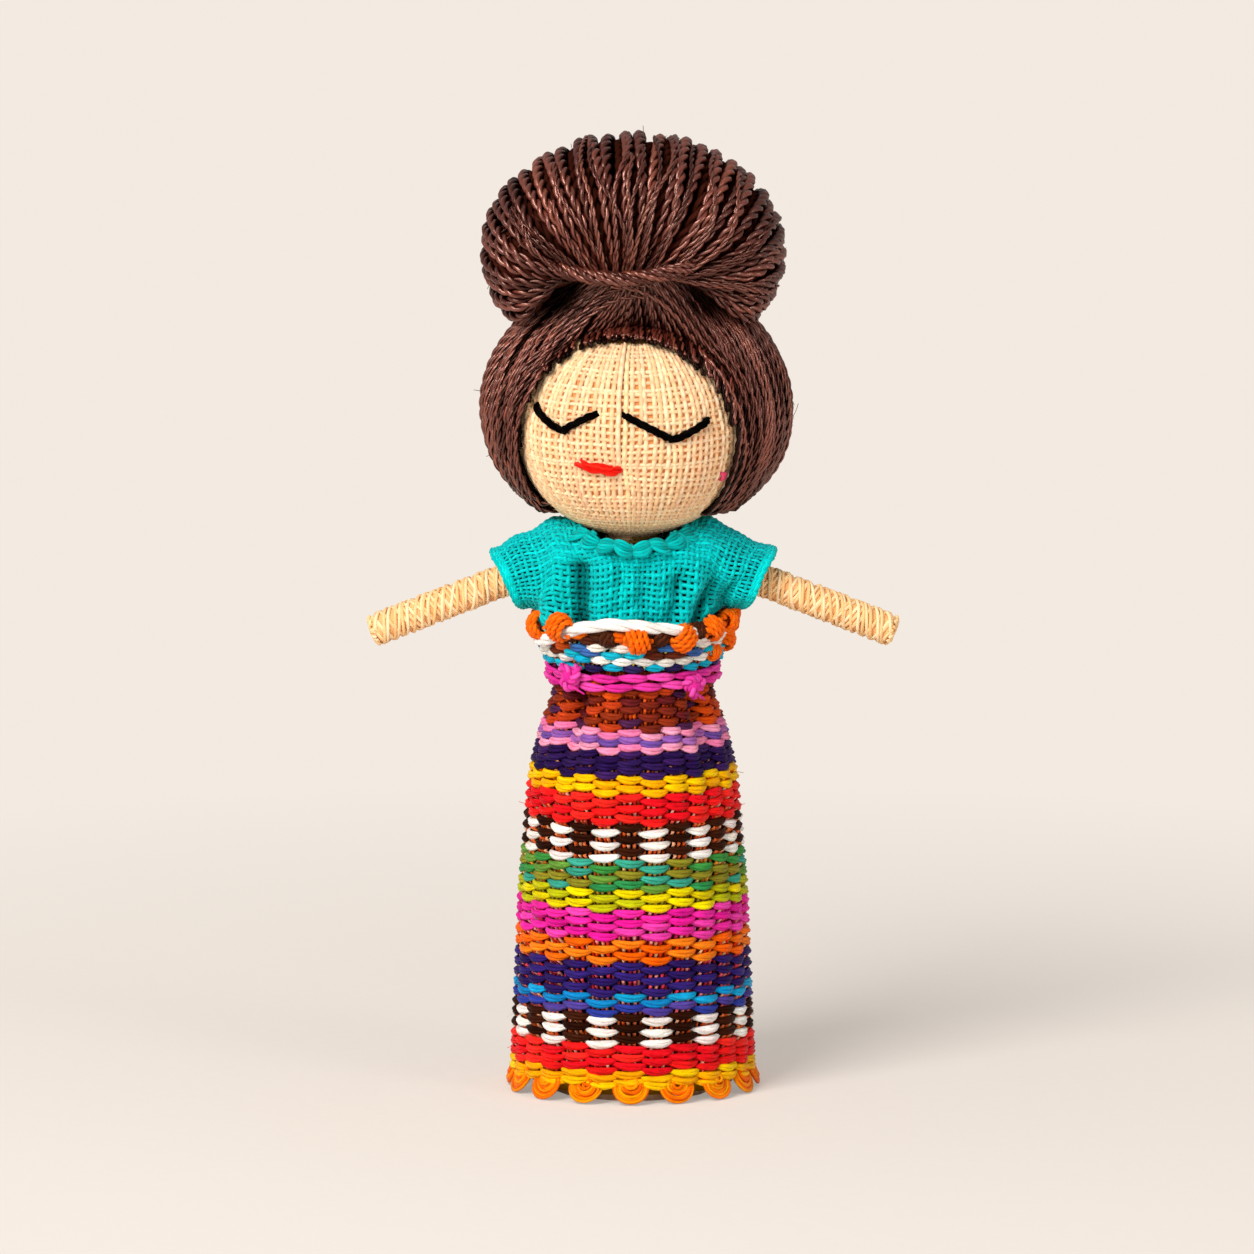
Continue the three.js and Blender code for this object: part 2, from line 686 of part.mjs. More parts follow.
function bunPadding() {
  const rings = [];
  const sections = 14;
  const cordSag = bunHalfWidth * (1 - Math.cos(Math.PI / bunLoopSteps));
  for (let i = 0; i <= sections; i++) {
    const ring = [];
    for (let k = 0; k < sections; k++) {
      ring.push(bunPoint(i / sections, (2 * Math.PI * k) / sections, 1, bunCordRadius + cordSag + gap));
    }
    rings.push(ring);
  }
  return piece('bun_padding', skin(rings), finish.hair);
}

// One cord looped over the bun from side to side, its loops in two layers where they gather
function bunHank() {
  const looped = (t) => bunPoint(t, 2 * Math.PI * bunLoops * t, Math.sin(Math.PI * bunLoops * t), 0);
  const path = new FormulaCurve(looped, bunLoops * 40);
  printLeastGap('bun_hank', path, bunCordRadius, bunLoops * 40);
  return piece('bun_hank', cord(path, bunCordRadius, bunLoops * bunLoopSteps), finish.hair);
}

// Strand laid across the front of the gather
function bunTie() {
  const out = bunCordRadius + 2 * gap + bunTieRadius;
  const laid = (t) => bunPoint(THREE.MathUtils.lerp(0.84, 0.2, t), degrees(124), 0, -out);
  const path = new FormulaCurve(laid, 40);
  return piece('bun_tie', cord(path, bunTieRadius, 14, 8), finish.hair);
}

function head() {
  const group = new THREE.Group();
  group.position.z = headZ;
  const face = new THREE.Group();
  face.rotation.z = degrees(faceYaw);
  face.add(headSkin(), headStuffing(), neckThread());
  face.add(faceStitch('right_eye_stitch', rightEyeStitch, eyeThreadRadius, finish.black));
  face.add(faceStitch('left_eye_stitch', leftEyeStitch, eyeThreadRadius, finish.black));
  face.add(faceStitch('mouth_stitch', mouthStitch, lipThreadRadius, finish.red));
  face.add(faceStitch('ear_stitch', earStitch, earThreadRadius, finish.pink));
  group.add(face, hairCap(), bunPadding(), bunHank(), bunTie());
  return group;
}

const doll = new THREE.Group();
doll.add(spineStick(), coreRoll(), skirtPadding(), skirt(), hemFringe());
doll.add(waistTie(), tieKnot('right_tie_knot', -90 - knotAngle), tieKnot('left_tie_knot', -90 + knotAngle));
doll.add(waistSash(), sashFringe(), whiteCord());
doll.add(torsoPadding(), shoulderWire(), blouse());
doll.add(arm(1, 'left'), arm(-1, 'right'), head());

export default doll;
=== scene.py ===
"""Looks of the worry doll: its threads, cloth and hair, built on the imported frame."""

import math

import bpy
import numpy as np
from numpy.random import default_rng
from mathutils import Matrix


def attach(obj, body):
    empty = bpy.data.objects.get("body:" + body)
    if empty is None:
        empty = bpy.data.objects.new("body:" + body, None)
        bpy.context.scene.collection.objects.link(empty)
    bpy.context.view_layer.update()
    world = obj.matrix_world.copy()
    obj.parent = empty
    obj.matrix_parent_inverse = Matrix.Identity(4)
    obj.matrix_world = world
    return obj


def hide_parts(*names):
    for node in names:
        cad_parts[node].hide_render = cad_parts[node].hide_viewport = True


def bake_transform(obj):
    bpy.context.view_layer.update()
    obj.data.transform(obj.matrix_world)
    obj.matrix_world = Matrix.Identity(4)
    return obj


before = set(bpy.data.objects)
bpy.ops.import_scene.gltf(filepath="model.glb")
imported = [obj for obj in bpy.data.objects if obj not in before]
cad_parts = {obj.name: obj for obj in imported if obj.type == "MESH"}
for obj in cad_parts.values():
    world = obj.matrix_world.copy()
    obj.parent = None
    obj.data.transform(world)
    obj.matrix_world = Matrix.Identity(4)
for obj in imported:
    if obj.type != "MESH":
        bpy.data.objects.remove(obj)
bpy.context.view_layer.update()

# Lengths below are in millimetres and angles in degrees, unless a comment says otherwise
MM = 0.001

# Shapes shared with the solids
trunk_depth = 0.86
skirt_heights = (2.2, 20.55, 32.05, 37.05, 40.11, 43.35)
skirt_halves = (12.0, 11.2, 10.2, 9.0, 7.75, 7.75)
pleat_angles = (-47, 54, 134, -114)
pleat_width = 9
pleat_depth = 1.7
pleat_low = 29.3
pleat_high = 40.1

# Plied yarns: offset of a ply from the middle, length of a turn, and radius of a ply
yarns = {
    "eye": (0.17, 3.0, 0.25),
    "mouth": (0.07, 2.2, 0.15),
    "neck": (0.1, 1.4, 0.13),
    "hair": (0.125, 2.6, 0.16),
    "hair_edge": (0.125, 2.6, 0.165),
    "bun": (0.3, 3.3, 0.35),
    "bun_under": (0.28, 3.4, 0.33),
    "bun_loose": (0.12, 2.4, 0.15),
    "bun_tie": (0.13, 1.9, 0.2),
    "sleeve_hem": (0.09, 1.6, 0.17),
    "sash_knot": (0.12, 1.3, 0.2),
    "sash_link": (0.16, 1.8, 0.2),
    "white_cord": (0.3, 9.0, 0.37),
    "tie_knot": (0.2, 1.5, 0.25),
    "hem_ring": (0.15, 1.7, 0.2),
}

# Threads: how one differs from the next, and how they are shaded
ply_phase = 1.7
shift_per_thread = 7.31
shift_per_point = 0.013
shift_cycle = 61
crevice_light = 0.06
crevice_facing = (-0.1, 0.92)
ground_fibres = 4
noise_range = (0.3, 0.7)


def rgb(code):
    """Linear colour of a hex code."""
    value = np.array([int(code[i : i + 2], 16) for i in (1, 3, 5)]) / 255
    return np.where(value <= 0.04045, value / 12.92, ((value + 0.055) / 1.055) ** 2.4)


def palette(codes):
    """Linear colours of several hex codes."""
    return np.array([rgb(code) for code in codes.split()])


def ease(low, high, value):
    """Smooth step from 0 at low to 1 at high."""
    share = np.clip((np.asarray(value, float) - low) / (high - low), 0, 1)
    return share * share * (3 - 2 * share)


def unit(vectors):
    """Vectors at length one."""
    return vectors / np.maximum(np.linalg.norm(vectors, axis=-1, keepdims=True), 1e-9)


def away(angle, centre):
    """Signed difference of two angles, from -180 to 180."""
    return (angle - centre + 180) % 360 - 180


def xyz(x, y, z):
    """Points of coordinates that are spread to one shape."""
    return np.stack(np.broadcast_arrays(x, y, z), axis=-1)


def spline(points, count):
    """Smooth path through the points."""
    given = np.asarray(points, float)
    held = np.concatenate([[2 * given[0] - given[1]], given, [2 * given[-1] - given[-2]]])
    place = np.linspace(0, len(given) - 1 - 1e-6, count)
    first = place.astype(int)
    part = (place - first)[:, None]
    a, b, c, d = (held[first + k] for k in range(4))
    bend = 2 * a - 5 * b + 4 * c - d
    return 0.5 * (2 * b + (c - a) * part + bend * part**2 + (3 * b - a - 3 * c + d) * part**3)


def distances(paths):
    """Length run so far at each point of each path."""
    steps = np.linalg.norm(np.diff(paths, axis=1), axis=2)
    return np.concatenate([np.zeros((len(paths), 1)), np.cumsum(steps, axis=1)], axis=1)


def resampled(path, count):
    """A path's points spread evenly along it."""
    run = distances(path[None])[0]
    even = np.linspace(0, run[-1], count)
    return np.stack([np.interp(even, run, path[:, k]) for k in range(3)], axis=1)


def carried_frames(paths):
    """Tangent, normal and binormal along each path, carried without twisting."""
    tangent = unit(np.gradient(paths, axis=1))
    upright = np.abs(tangent[:, :1, 2]) > 0.9
    carried = np.where(upright, [[1.0, 0.0, 0.0]], [[0.0, 0.0, 1.0]])
    normal = np.empty_like(paths)
    for i in range(paths.shape[1]):
        along = np.sum(carried * tangent[:, i], axis=1, keepdims=True)
        carried = unit(carried - along * tangent[:, i])
        normal[:, i] = carried
    return tangent, normal, np.cross(tangent, normal)


def several(paths):
    """An array of paths, also where only one is given."""
    paths = np.asarray(paths, float)
    return paths[None] if paths.ndim == 2 else paths


def turned(angle, normal, binormal):
    """Directions at an angle from the normal towards the binormal."""
    return np.cos(angle)[..., None] * normal + np.sin(angle)[..., None] * binormal


def plied(paths, offset, pitch, plies=2, phase=0.0):
    """Paths of the plies that twist round each path."""
    paths = several(paths)
    _, normal, binormal = carried_frames(paths)
    run = distances(paths)
    start = np.arange(len(paths))[:, None] * ply_phase + phase
    out = np.broadcast_to(offset, run.shape)[..., None]
    turns = [2 * np.pi * (run / pitch + k / plies) + start for k in range(plies)]
    return np.concatenate([paths + out * turned(turn, normal, binormal) for turn in turns])


def varied(colours, amount, seed):
    """Colours made a little lighter or darker one by one."""
    chance = default_rng(seed)
    level = 1 + amount * chance.uniform(-1, 1, (len(colours), 1))
    tilt = 1 + 0.3 * amount * chance.uniform(-1, 1, (len(colours), 3))
    return np.clip(colours * level * tilt, 0.002, 0.95)


def grid_quads(index, around):
    """Faces of a grid of point numbers, closed across its last axis where it goes around."""
    beside = np.roll(index, -1, axis=-1) if around else index[..., 1:]
    here = index if around else index[..., :-1]
    corners = (here[..., :-1, :], beside[..., :-1, :], beside[..., 1:, :], here[..., 1:, :])
    return np.stack(corners, axis=-1).reshape(-1, 4)


class Threads:
    """Round threads gathered into one mesh, each with its tint and fibre coordinates."""

    def __init__(self):
        self.parts = []
        self.total = 0

    def add(self, paths, radius, tint, sides=5, turn=0.0, capped=True, centre=None):
        """Threads along the paths; their sides towards the centre given are dark, as in a crevice."""
        paths = several(paths)
        radius = np.broadcast_to(np.asarray(radius, float), paths.shape[:2])
        tint = np.asarray(tint, float)
        tint = np.broadcast_to(tint[:, None] if tint.ndim == 2 else tint, paths.shape)
        if capped:
            paths, radius, tint = rounded_ends(paths, radius, tint)
        _, normal, binormal = carried_frames(paths)
        angle = np.arange(sides) * 2 * np.pi / sides
        ring = turned(angle, normal[:, :, None], binormal[:, :, None])
        shift = np.arange(len(paths))[:, None] * shift_per_thread + self.total * shift_per_point
        run = (distances(paths) + shift % shift_cycle)[..., None]
        spun = angle + turn * run
        fibre = np.stack([np.broadcast_to(run, spun.shape), np.cos(spun), np.sin(spun)], axis=-1)
        points = paths[:, :, None] + radius[..., None, None] * ring
        colours = np.repeat(tint[:, :, None], sides, axis=2)
        if centre is not None:
            facing = np.sum(ring * unit(paths - centre)[:, :, None], axis=-1, keepdims=True)
            colours = colours * (crevice_light + (1 - crevice_light) * ease(*crevice_facing, facing))
        quads = grid_quads(self.total + np.arange(spun.size).reshape(spun.shape), True)
        self.parts.append((points.reshape(-1, 3), quads, colours.reshape(-1, 3), fibre.reshape(-1, 3)))
        self.total += spun.size
        return self

    def yarn(self, kind, paths, tint, full=1.0, plies=2, phase=0.0, turn=1.6, **look):
        """Plied yarn of one of the kinds above, full or thinner, along the paths."""
        offset, pitch, radius = yarns[kind]
        paths = plied(paths, full * offset, pitch, plies, phase)
        return self.add(paths, full * radius, tint, turn=turn, **look)

    def arrays(self):
        """Points, faces, tints and fibre coordinates of all the threads."""
        return tuple(np.concatenate(part) for part in zip(*self.parts))

    def piece(self, name, material):
        """One Blender object of all the threads."""
        return mesh_piece(name, *self.arrays(), material)


def rounded_ends(paths, radius, tint):
    """Paths made longer by a small dome at each end."""
    first = unit(paths[:, 0] - paths[:, 1])
    last = unit(paths[:, -1] - paths[:, -2])
    reach = ((0.75, 0.03), (0.45, 0.72))
    before = [paths[:, 0] + first * radius[:, :1] * far for far, _ in reach]
    after = [paths[:, -1] + last * radius[:, -1:] * far for far, _ in reversed(reach)]
    thin = [radius[:, :1] * share for _, share in reach]
    thinned = [radius[:, -1:] * share for _, share in reversed(reach)]
    longer = np.concatenate([np.stack(before, 1), paths, np.stack(after, 1)], axis=1)
    sizes = np.concatenate([*thin, radius, *thinned], axis=1)
    colours = np.concatenate([tint[:, :1]] * 2 + [tint] + [tint[:, -1:]] * 2, axis=1)
    return longer, sizes, colours


def mesh_piece(name, points, quads, tints, fibres, material):
    """A smooth mesh of quads with a tint and a fibre coordinate at each point."""
    mesh = bpy.data.meshes.new(name)
    mesh.vertices.add(len(points))
    mesh.vertices.foreach_set("co", (points * MM).astype(np.float32).ravel())
    mesh.loops.add(quads.size)
    mesh.loops.foreach_set("vertex_index", quads.astype(np.int32).ravel())
    mesh.polygons.add(len(quads))
    mesh.polygons.foreach_set("loop_start", np.arange(0, quads.size, 4, dtype=np.int32))
    mesh.update(calc_edges=True)
    mesh.shade_smooth()
    colour = mesh.attributes.new("tint", "FLOAT_COLOR", "POINT")
    opaque = np.concatenate([tints, np.ones((len(tints), 1))], axis=1)
    colour.data.foreach_set("color", opaque.astype(np.float32).ravel())
    along = mesh.attributes.new("fibre", "FLOAT_VECTOR", "POINT")
    along.data.foreach_set("vector", fibres.astype(np.float32).ravel())
    mesh.materials.append(material)
    piece = bpy.data.objects.new(name, mesh)
    bpy.context.scene.collection.objects.link(piece)
    return piece


def surface_arrays(rows, tint, around=True):
    """Points, faces, tints and fibre coordinates of a grid of rows."""
    rows = np.asarray(rows, float)
    points = rows.reshape(-1, 3)
    index = np.arange(len(points)).reshape(rows.shape[:2])
    tints = np.broadcast_to(np.asarray(tint, float), rows.shape).reshape(-1, 3)
    return points, grid_quads(index, around), tints, points * ground_fibres


def surface_piece(name, rows, tint, material):
    """One Blender object of a grid of rows."""
    return mesh_piece(name, *surface_arrays(rows, tint), material)


def wire(tree, target, inputs):
    """Sets each input of a shader node to its value, or links it to the socket given."""
    for key, value in inputs.items():
        if isinstance(value, bpy.types.NodeSocket):
            tree.links.new(value, target.inputs[key])
        else:
            target.inputs[key].default_value = value


def node(tree, kind, inputs=None, **settings):
    """Outputs of a new shader node with the settings and inputs given."""
    made = tree.nodes.new("ShaderNode" + kind)
    for key, value in settings.items():
        setattr(made, key, value)
    wire(tree, made, inputs or {})
    return made.outputs


def ranged(tree, source, *limits):
    """A value moved from the range of the first two limits to that of the last two."""
    return node(tree, "MapRange", dict(enumerate((source, *limits))))[0]


def new_material(name):
    """A material, its node tree and its surface shader."""
    material = bpy.data.materials.new(name)
    material.use_nodes = True
    return material, material.node_tree, material.node_tree.nodes["Principled BSDF"]


def thread_material(
    name, roughness=0.6, sheen=0.05, fibres=2.6, contrast=0.3, bump=0.5, gloss=0.22, shine=None, ior=None
):
    """Spun thread: its tint broken into fine fibres that run along it, with highlights of its own hue."""
    material, tree, shader = new_material(name)
    tint = node(tree, "Attribute", attribute_name="tint")
    fibre = node(tree, "Attribute", attribute_name="fibre")["Vector"]
    stretched = node(tree, "VectorMath", {0: fibre, 1: (0.9, fibres, fibres)}, operation="MULTIPLY")[0]
    strands = node(tree, "TexNoise", {"Vector": stretched, "Scale": 1, "Detail": 3, "Roughness": 0.65})[0]
    spot = node(tree, "TexCoord")["Object"]
    fleck = node(tree, "TexNoise", {"Vector": spot, "Scale": 900, "Detail": 2})[0]
    streaks = ranged(tree, strands, *noise_range, 1 - contrast, 1 + 0.35 * contrast)
    specks = ranged(tree, fleck, *noise_range, 1 - 0.4 * contrast, 1 + 0.15 * contrast)
    light = node(tree, "Math", {0: streaks, 1: specks}, operation="MULTIPLY")[0]
    mixed = {"Factor": 1, "A": tint["Color"], "B": light}
    inputs = {
        "Base Color": node(tree, "Mix", mixed, data_type="RGBA", blend_type="MULTIPLY")["Result"],
        "Roughness": ranged(tree, strands, *noise_range, roughness + 0.12, roughness - 0.08),
        "Normal": node(tree, "Bump", {"Strength": bump, "Distance": 0.06 * MM, "Height": strands})[0],
        "Sheen Weight": sheen,
        "Sheen Roughness": 0.4,
        "Specular IOR Level": ranged(tree, tint["Fac"], 0.0, 0.04, 0.0, gloss),
    }
    if shine:
        inputs["Specular Tint"] = (*shine, 1)
    else:
        inputs["Specular Tint"] = node(tree, "VectorMath", {0: tint["Vector"]}, operation="NORMALIZE")[0]
    if ior:
        inputs["IOR"] = ior
    wire(tree, shader, inputs)
    return material


def place(piece, body, slot, *nodes):
    """Fixes a piece to its body, in place of the nodes named. The slot is not used."""
    if nodes:
        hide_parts(*nodes)
    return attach(piece, body) if body else piece


# Camera, light and paper, with the lamps and the fade of the paper in metres
camera_lens = 720
camera_sensor = 36
camera_lift = 10.5
camera_reach = 2508.0
camera_aim = (-0.6, 46.64)
lamp_target = np.array([0, 0, 0.05])
# Lamps: name, place, size, power and colour
lamps = (
    ("key", (-0.3, -0.42, 0.46), 0.34, 4.9, (1, 0.975, 0.94)),
    ("fill", (0.5, -0.4, 0.2), 0.2, 1.1, (1, 0.98, 0.97)),
    ("side", (-0.42, -0.5, 0.15), 0.16, 0.6, (1, 0.98, 0.97)),
)
room_light = (1, 0.98, 0.955, 1)
room_strength = 0.4
paper_colour = rgb("#e2d9d1")
paper_shown = (*rgb("#f3eae1"), 1)
paper_half = 3000.0
paper_fade = (0.04, 0.16, 0.35, 1)


def camera():
    """A long lens a little above the doll, at the photograph's angle."""
    lens = bpy.data.cameras.new("camera")
    lens.lens = camera_lens
    lens.sensor_width = camera_sensor
    made = bpy.data.objects.new("camera", lens)
    bpy.context.scene.collection.objects.link(made)
    lift = math.radians(camera_lift)
    back = -camera_reach * math.cos(lift)
    height = camera_aim[1] + camera_reach * math.sin(lift)
    made.location = (camera_aim[0] * MM, back * MM, height * MM)
    made.rotation_euler = (math.pi / 2 - lift, 0, 0)
    bpy.context.scene.camera = made


def lamp(name, place_at, size, power, colour):
    """A soft square lamp aimed at the middle of the doll."""
    light = bpy.data.lights.new(name, "AREA")
    light.size = size
    light.energy = power
    light.color = colour
    made = bpy.data.objects.new(name, light)
    made.location = place_at
    direction = lamp_target - np.array(place_at)
    yaw = math.atan2(-direction[0], direction[1])
    pitch = math.atan2(math.hypot(direction[0], direction[1]), -direction[2])
    made.rotation_euler = (pitch, 0, yaw)
    bpy.context.scene.collection.objects.link(made)


def backdrop():
    """An even warm-white room light, seen by the camera as plain paper."""
    world = bpy.data.worlds.new("room")
    bpy.context.scene.world = world
    world.use_nodes = True
    tree = world.node_tree
    tree.nodes.clear()
    seen = node(tree, "LightPath")["Is Camera Ray"]
    light = node(tree, "Background", {"Color": room_light, "Strength": room_strength})[0]
    paper = node(tree, "Background", {"Color": paper_shown})[0]
    node(tree, "OutputWorld", {"Surface": node(tree, "MixShader", {0: seen, 1: light, 2: paper})[0]})


def floor():
    """A wide sheet of pale paper under the doll, plain away from it."""
    corners = paper_half * np.array([[-1, -1, 0], [1, -1, 0], [1, 1, 0], [-1, 1, 0]])
    material, tree, shader = new_material("paper")
    spot = node(tree, "TexCoord")["Object"]
    grain = node(tree, "TexNoise", {"Vector": spot, "Scale": 700})[0]
    tones = {"Factor": grain, "A": (*paper_colour * 0.97, 1), "B": (*paper_colour * 1.02, 1)}
    tone = node(tree, "Mix", tones, data_type="RGBA")["Result"]
    far = ranged(tree, node(tree, "VectorMath", {0: spot}, operation="LENGTH")["Value"], *paper_fade)
    ray = node(tree, "LightPath")["Is Camera Ray"]
    seen = node(tree, "Math", {0: far, 1: ray}, operation="MULTIPLY")[0]
    plain = node(tree, "Emission", {"Color": paper_shown})[0]
    mixed = node(tree, "MixShader", {0: seen, 1: shader.outputs[0], 2: plain})[0]
    wire(tree, tree.nodes["Material Output"], {"Surface": mixed})
    wire(tree, shader, {"Base Color": tone, "Roughness": 0.95, "Specular IOR Level": 0.1})
    sheet = mesh_piece("floor", corners, np.array([[0, 1, 2, 3]]), np.ones((4, 3)), corners, material)


camera()
bpy.context.scene.view_settings.view_transform = "Standard"
backdrop()
floor()
for values in lamps:
    lamp(*values)

# Skirt, woven in bands of weft floats over warp threads
skirt_columns = 26
skirt_turn = -2.0
weft_bed = 0.5
weft_split = 20.5
weft_rise = 0.12
weft_lift = 0.88
weft_spread = 0.22
weft_radius = 0.25
pale_weft_radius = 0.27
float_taper = 0.6
row_gap = 1.05
column_warps = 5
warp_radius = 0.18
warp_span = (1.9, 43.2)
hem_heights = (0.6, 0.9, 1.4, 1.9)
hem_insets = (-1.5, -1.3, -0.8, -0.22)
# Colours of the weft and of the warp in each band
skirt_bands = {
    "earth": palette("#742618 #5a1a1c #401c3c #d84e14 #8a3016 #c0401a"),
    "pink": palette("#f08cb0 #e87aa8 #f29cba"),
    "lilac": palette("#8a56a8 #a866ae #6a4896"),
    "plum": palette("#2a1648 #221040 #341a52"),
    "yellow": palette("#ffb900 #fcaa00 #ffc404"),
    "red": palette("#ee1c1c #e41420 #f62a22"),
    "white": palette("#f8f1ea #f6ece4"),
    "brown": palette("#2c1208 #34160a #240e06"),
    "green": palette("#3a9040 #2c884a #649438 #8a8424 #38a088"),
    "lime": palette("#f0d804 #dcc808 #b8b810 #f6de06"),
    "magenta": palette("#ee2aa4 #e41c98 #f040ac"),
    "orange": palette("#fb7210 #fa6608 #fd8218"),
    "indigo": palette("#2a1a5e #30206e #241450"),
    "blue": palette("#0a92cc #1284c4 #16a4d8"),
    "violet": palette("#54429a #4a3c92 #2e3c9a"),
}
warp_bands = {
    "earth": palette("#e05a1c #c84418 #8a2c14"),
    "pink": palette("#e06a4a #7c4a86"),
    "lilac": palette("#c8603c #7c4a86"),
    "plum": palette("#e8763a #f0a070 #b04a30"),
    "yellow": palette("#d8600c #f09a10 #e03c0c"),
    "red": palette("#f25a48 #ffc4a8 #d81c1c #f8703c"),
    "white": palette("#e8682c #f08a50 #d04c18"),
    "brown": palette("#f07840 #f8b088 #e05a20"),
    "green": palette("#f09a30 #d87824 #f4d080"),
    "lime": palette("#b89018 #8a8020"),
    "magenta": palette("#f4a8a0 #c01c4c #e85060"),
    "orange": palette("#f24818 #ee3c10 #fcc890"),
    "indigo": palette("#f0566a #e83c58 #f49a90"),
    "blue": palette("#f0788a #f0a890"),
    "violet": palette("#f0606a #e88a70"),
}
# Bands from the top down, with the heights of their weft rows
skirt_rows = (
    ("earth", (41.9, 40.95, 39.96, 38.91, 37.86)),
    ("pink", (37.04,)),
    ("lilac", (36.36,)),
    ("pink", (35.62,)),
    ("plum", (34.84, 34.06, 33.27)),
    ("yellow", (32.39, 31.5)),
    ("red", (30.6, 29.57, 28.55)),
    ("check", (27.49, 26.22, 24.97)),
    ("green", (23.88, 22.88, 21.94)),
    ("lime", (20.98, 19.9)),
    ("magenta", (19.02, 18.08, 17.0)),
    ("orange", (15.8, 14.66)),
    ("indigo", (13.62, 12.51, 11.45)),
    ("blue", (10.42,)),
    ("violet", (9.42,)),
    ("check", (8.5, 7.37, 6.26)),
    ("red", (5.29, 4.44, 3.57)),
    ("yellow", (2.78, 2.0)),
)
weft_rows = [(band, height) for band, heights in skirt_rows for height in heights]
row_heights = np.array([height for _, height in weft_rows])
heights_above = np.concatenate([[row_heights[0] + row_gap], row_heights[:-1]])

fine_heights = np.linspace(0, 48, 241)
fine_halves = np.interp(fine_heights, skirt_heights, skirt_halves)
fine_halves = np.convolve(np.pad(fine_halves, 6, mode="edge"), np.ones(13) / 13, mode="valid")


def round_point(angle, height, wide, deep):
    """Point on an upright ellipse, by its angle from the front towards the doll's left."""
    turn = np.radians(angle)
    return xyz(wide * np.sin(turn), -deep * np.cos(turn), height)


def skirt_point(angle, height, out):
    """Point on the skirt's outside, moved outwards by out."""
    half = np.interp(height, fine_heights, fine_halves) - weft_bed
    fold = sum(np.exp(-((away(angle, at) / pleat_width) ** 2)) for at in pleat_angles)
    fold = pleat_depth * fold * ease(pleat_low, pleat_high, height)
    return round_point(angle, height, half - fold + out, trunk_depth * half - fold + out)


def nearest_rows(heights):
    """Number of the weft row nearest to each height."""
    return np.argmin(np.abs(heights[:, None] - row_heights), axis=1)


def band_name(band, odd):
    """A check band is white in one column and brown in the next."""
    return ("white" if odd else "brown") if band == "check" else band


def float_paths(point, angles, heights, half_span, lift, spread, seed, steps=9, sunk=-0.3, sag=0.0):
    """Three twisted strands of each weft float, that dive into the cloth at both ends."""
    chance = default_rng(seed)
    count = len(angles)
    u = np.linspace(-1, 1, steps)[None]
    bulge = 1 - u**2
    tilt = chance.normal(0, 0.06, (count, 1)) * u
    start = chance.uniform(0, 2 * np.pi, (count, 1))
    made = []
    for strand in range(3):
        turn = start + strand * 2 * np.pi / 3 + 0.9 * u
        rise = heights[:, None] + tilt + (spread * np.cos(turn) - sag) * bulge
        out = sunk + (lift - 0.3 - sunk) * bulge**0.7 + 0.6 * spread * np.sin(turn) * bulge
        made.append(point(angles[:, None] + u * half_span, rise, out))
    return np.concatenate(made)


def skirt_weft(material):
    """All the weft floats of the skirt, in an upper and a lower piece."""
    chance = default_rng(3)
    step = 360 / skirt_columns
    angles, heights, tints = [], [], []
    for column in range(skirt_columns):
        odd = column % 2
        for (band, height), above in zip(weft_rows, heights_above):
            colours = skirt_bands[band_name(band, odd)]
            angles.append(skirt_turn + step * column + chance.normal(0, 0.25))
            heights.append(height + (0 if odd else 0.5 * (above - height)) + chance.normal(0, 0.05))
            tints.append(colours[chance.integers(len(colours))])
    heights = np.array(heights) + weft_rise
    tints = np.array(tints)
    laid = (np.array(angles), heights, 0.7 * step, weft_lift, weft_spread)
    paths = float_paths(skirt_point, *laid, 5, sunk=-0.12, sag=0.3)
    u = np.linspace(-1, 1, paths.shape[1])
    pale = np.tile(tints.min(axis=1) > 0.6, 3)
    size = np.where(pale, pale_weft_radius, weft_radius)[:, None] * (1 - float_taper * u**2)
    colours = varied(np.tile(tints, (3, 1)), 0.14, 9)
    upper = np.tile(heights > weft_split, 3)
    pieces = []
    for name, chosen in (("skirt_weft_upper", upper), ("skirt_weft_lower", ~upper)):
        threads = Threads().add(paths[chosen], size[chosen], colours[chosen], turn=1.2, capped=False)
        pieces.append(threads.piece(name, material))
    return pieces


def skirt_warp(material):
    """Warp threads that show as specks between the floats."""
    chance = default_rng(4)
    count = skirt_columns * column_warps
    angles = skirt_turn + (np.arange(count) - 2) * 360 / count
    heights = np.linspace(*warp_span, 180)
    sway = chance.normal(0, 0.35, (count, 1)) * np.sin(heights * 0.7 + chance.uniform(0, 6, (count, 1)))
    between = 0.5 * (row_heights + heights_above)
    stepped = 0.5 * (between + np.concatenate([[row_heights[0] + 2], between[:-1]]))
    nearest = nearest_rows(heights)
    out = np.empty(sway.shape)
    tints = np.empty((*sway.shape, 3))
    for k in range(count):
        odd = (k // column_warps) % 2
        gap = np.abs(heights[:, None] - (between if odd else stepped)).min(axis=1)
        raised = 0.7 if 0 < k % column_warps < column_warps - 1 else 0.2
        out[k] = -0.22 + raised * np.exp(-((gap / 0.3) ** 2))
        for i, row in enumerate(nearest):
            colours = warp_bands[band_name(weft_rows[row][0], odd)]
            tints[k, i] = colours[(k * 5 + row * 3) % len(colours)]
    paths = skirt_point(angles[:, None] + sway, heights, out)
    return Threads().add(paths, warp_radius, tints, sides=4, capped=False).piece("skirt_warp", material)


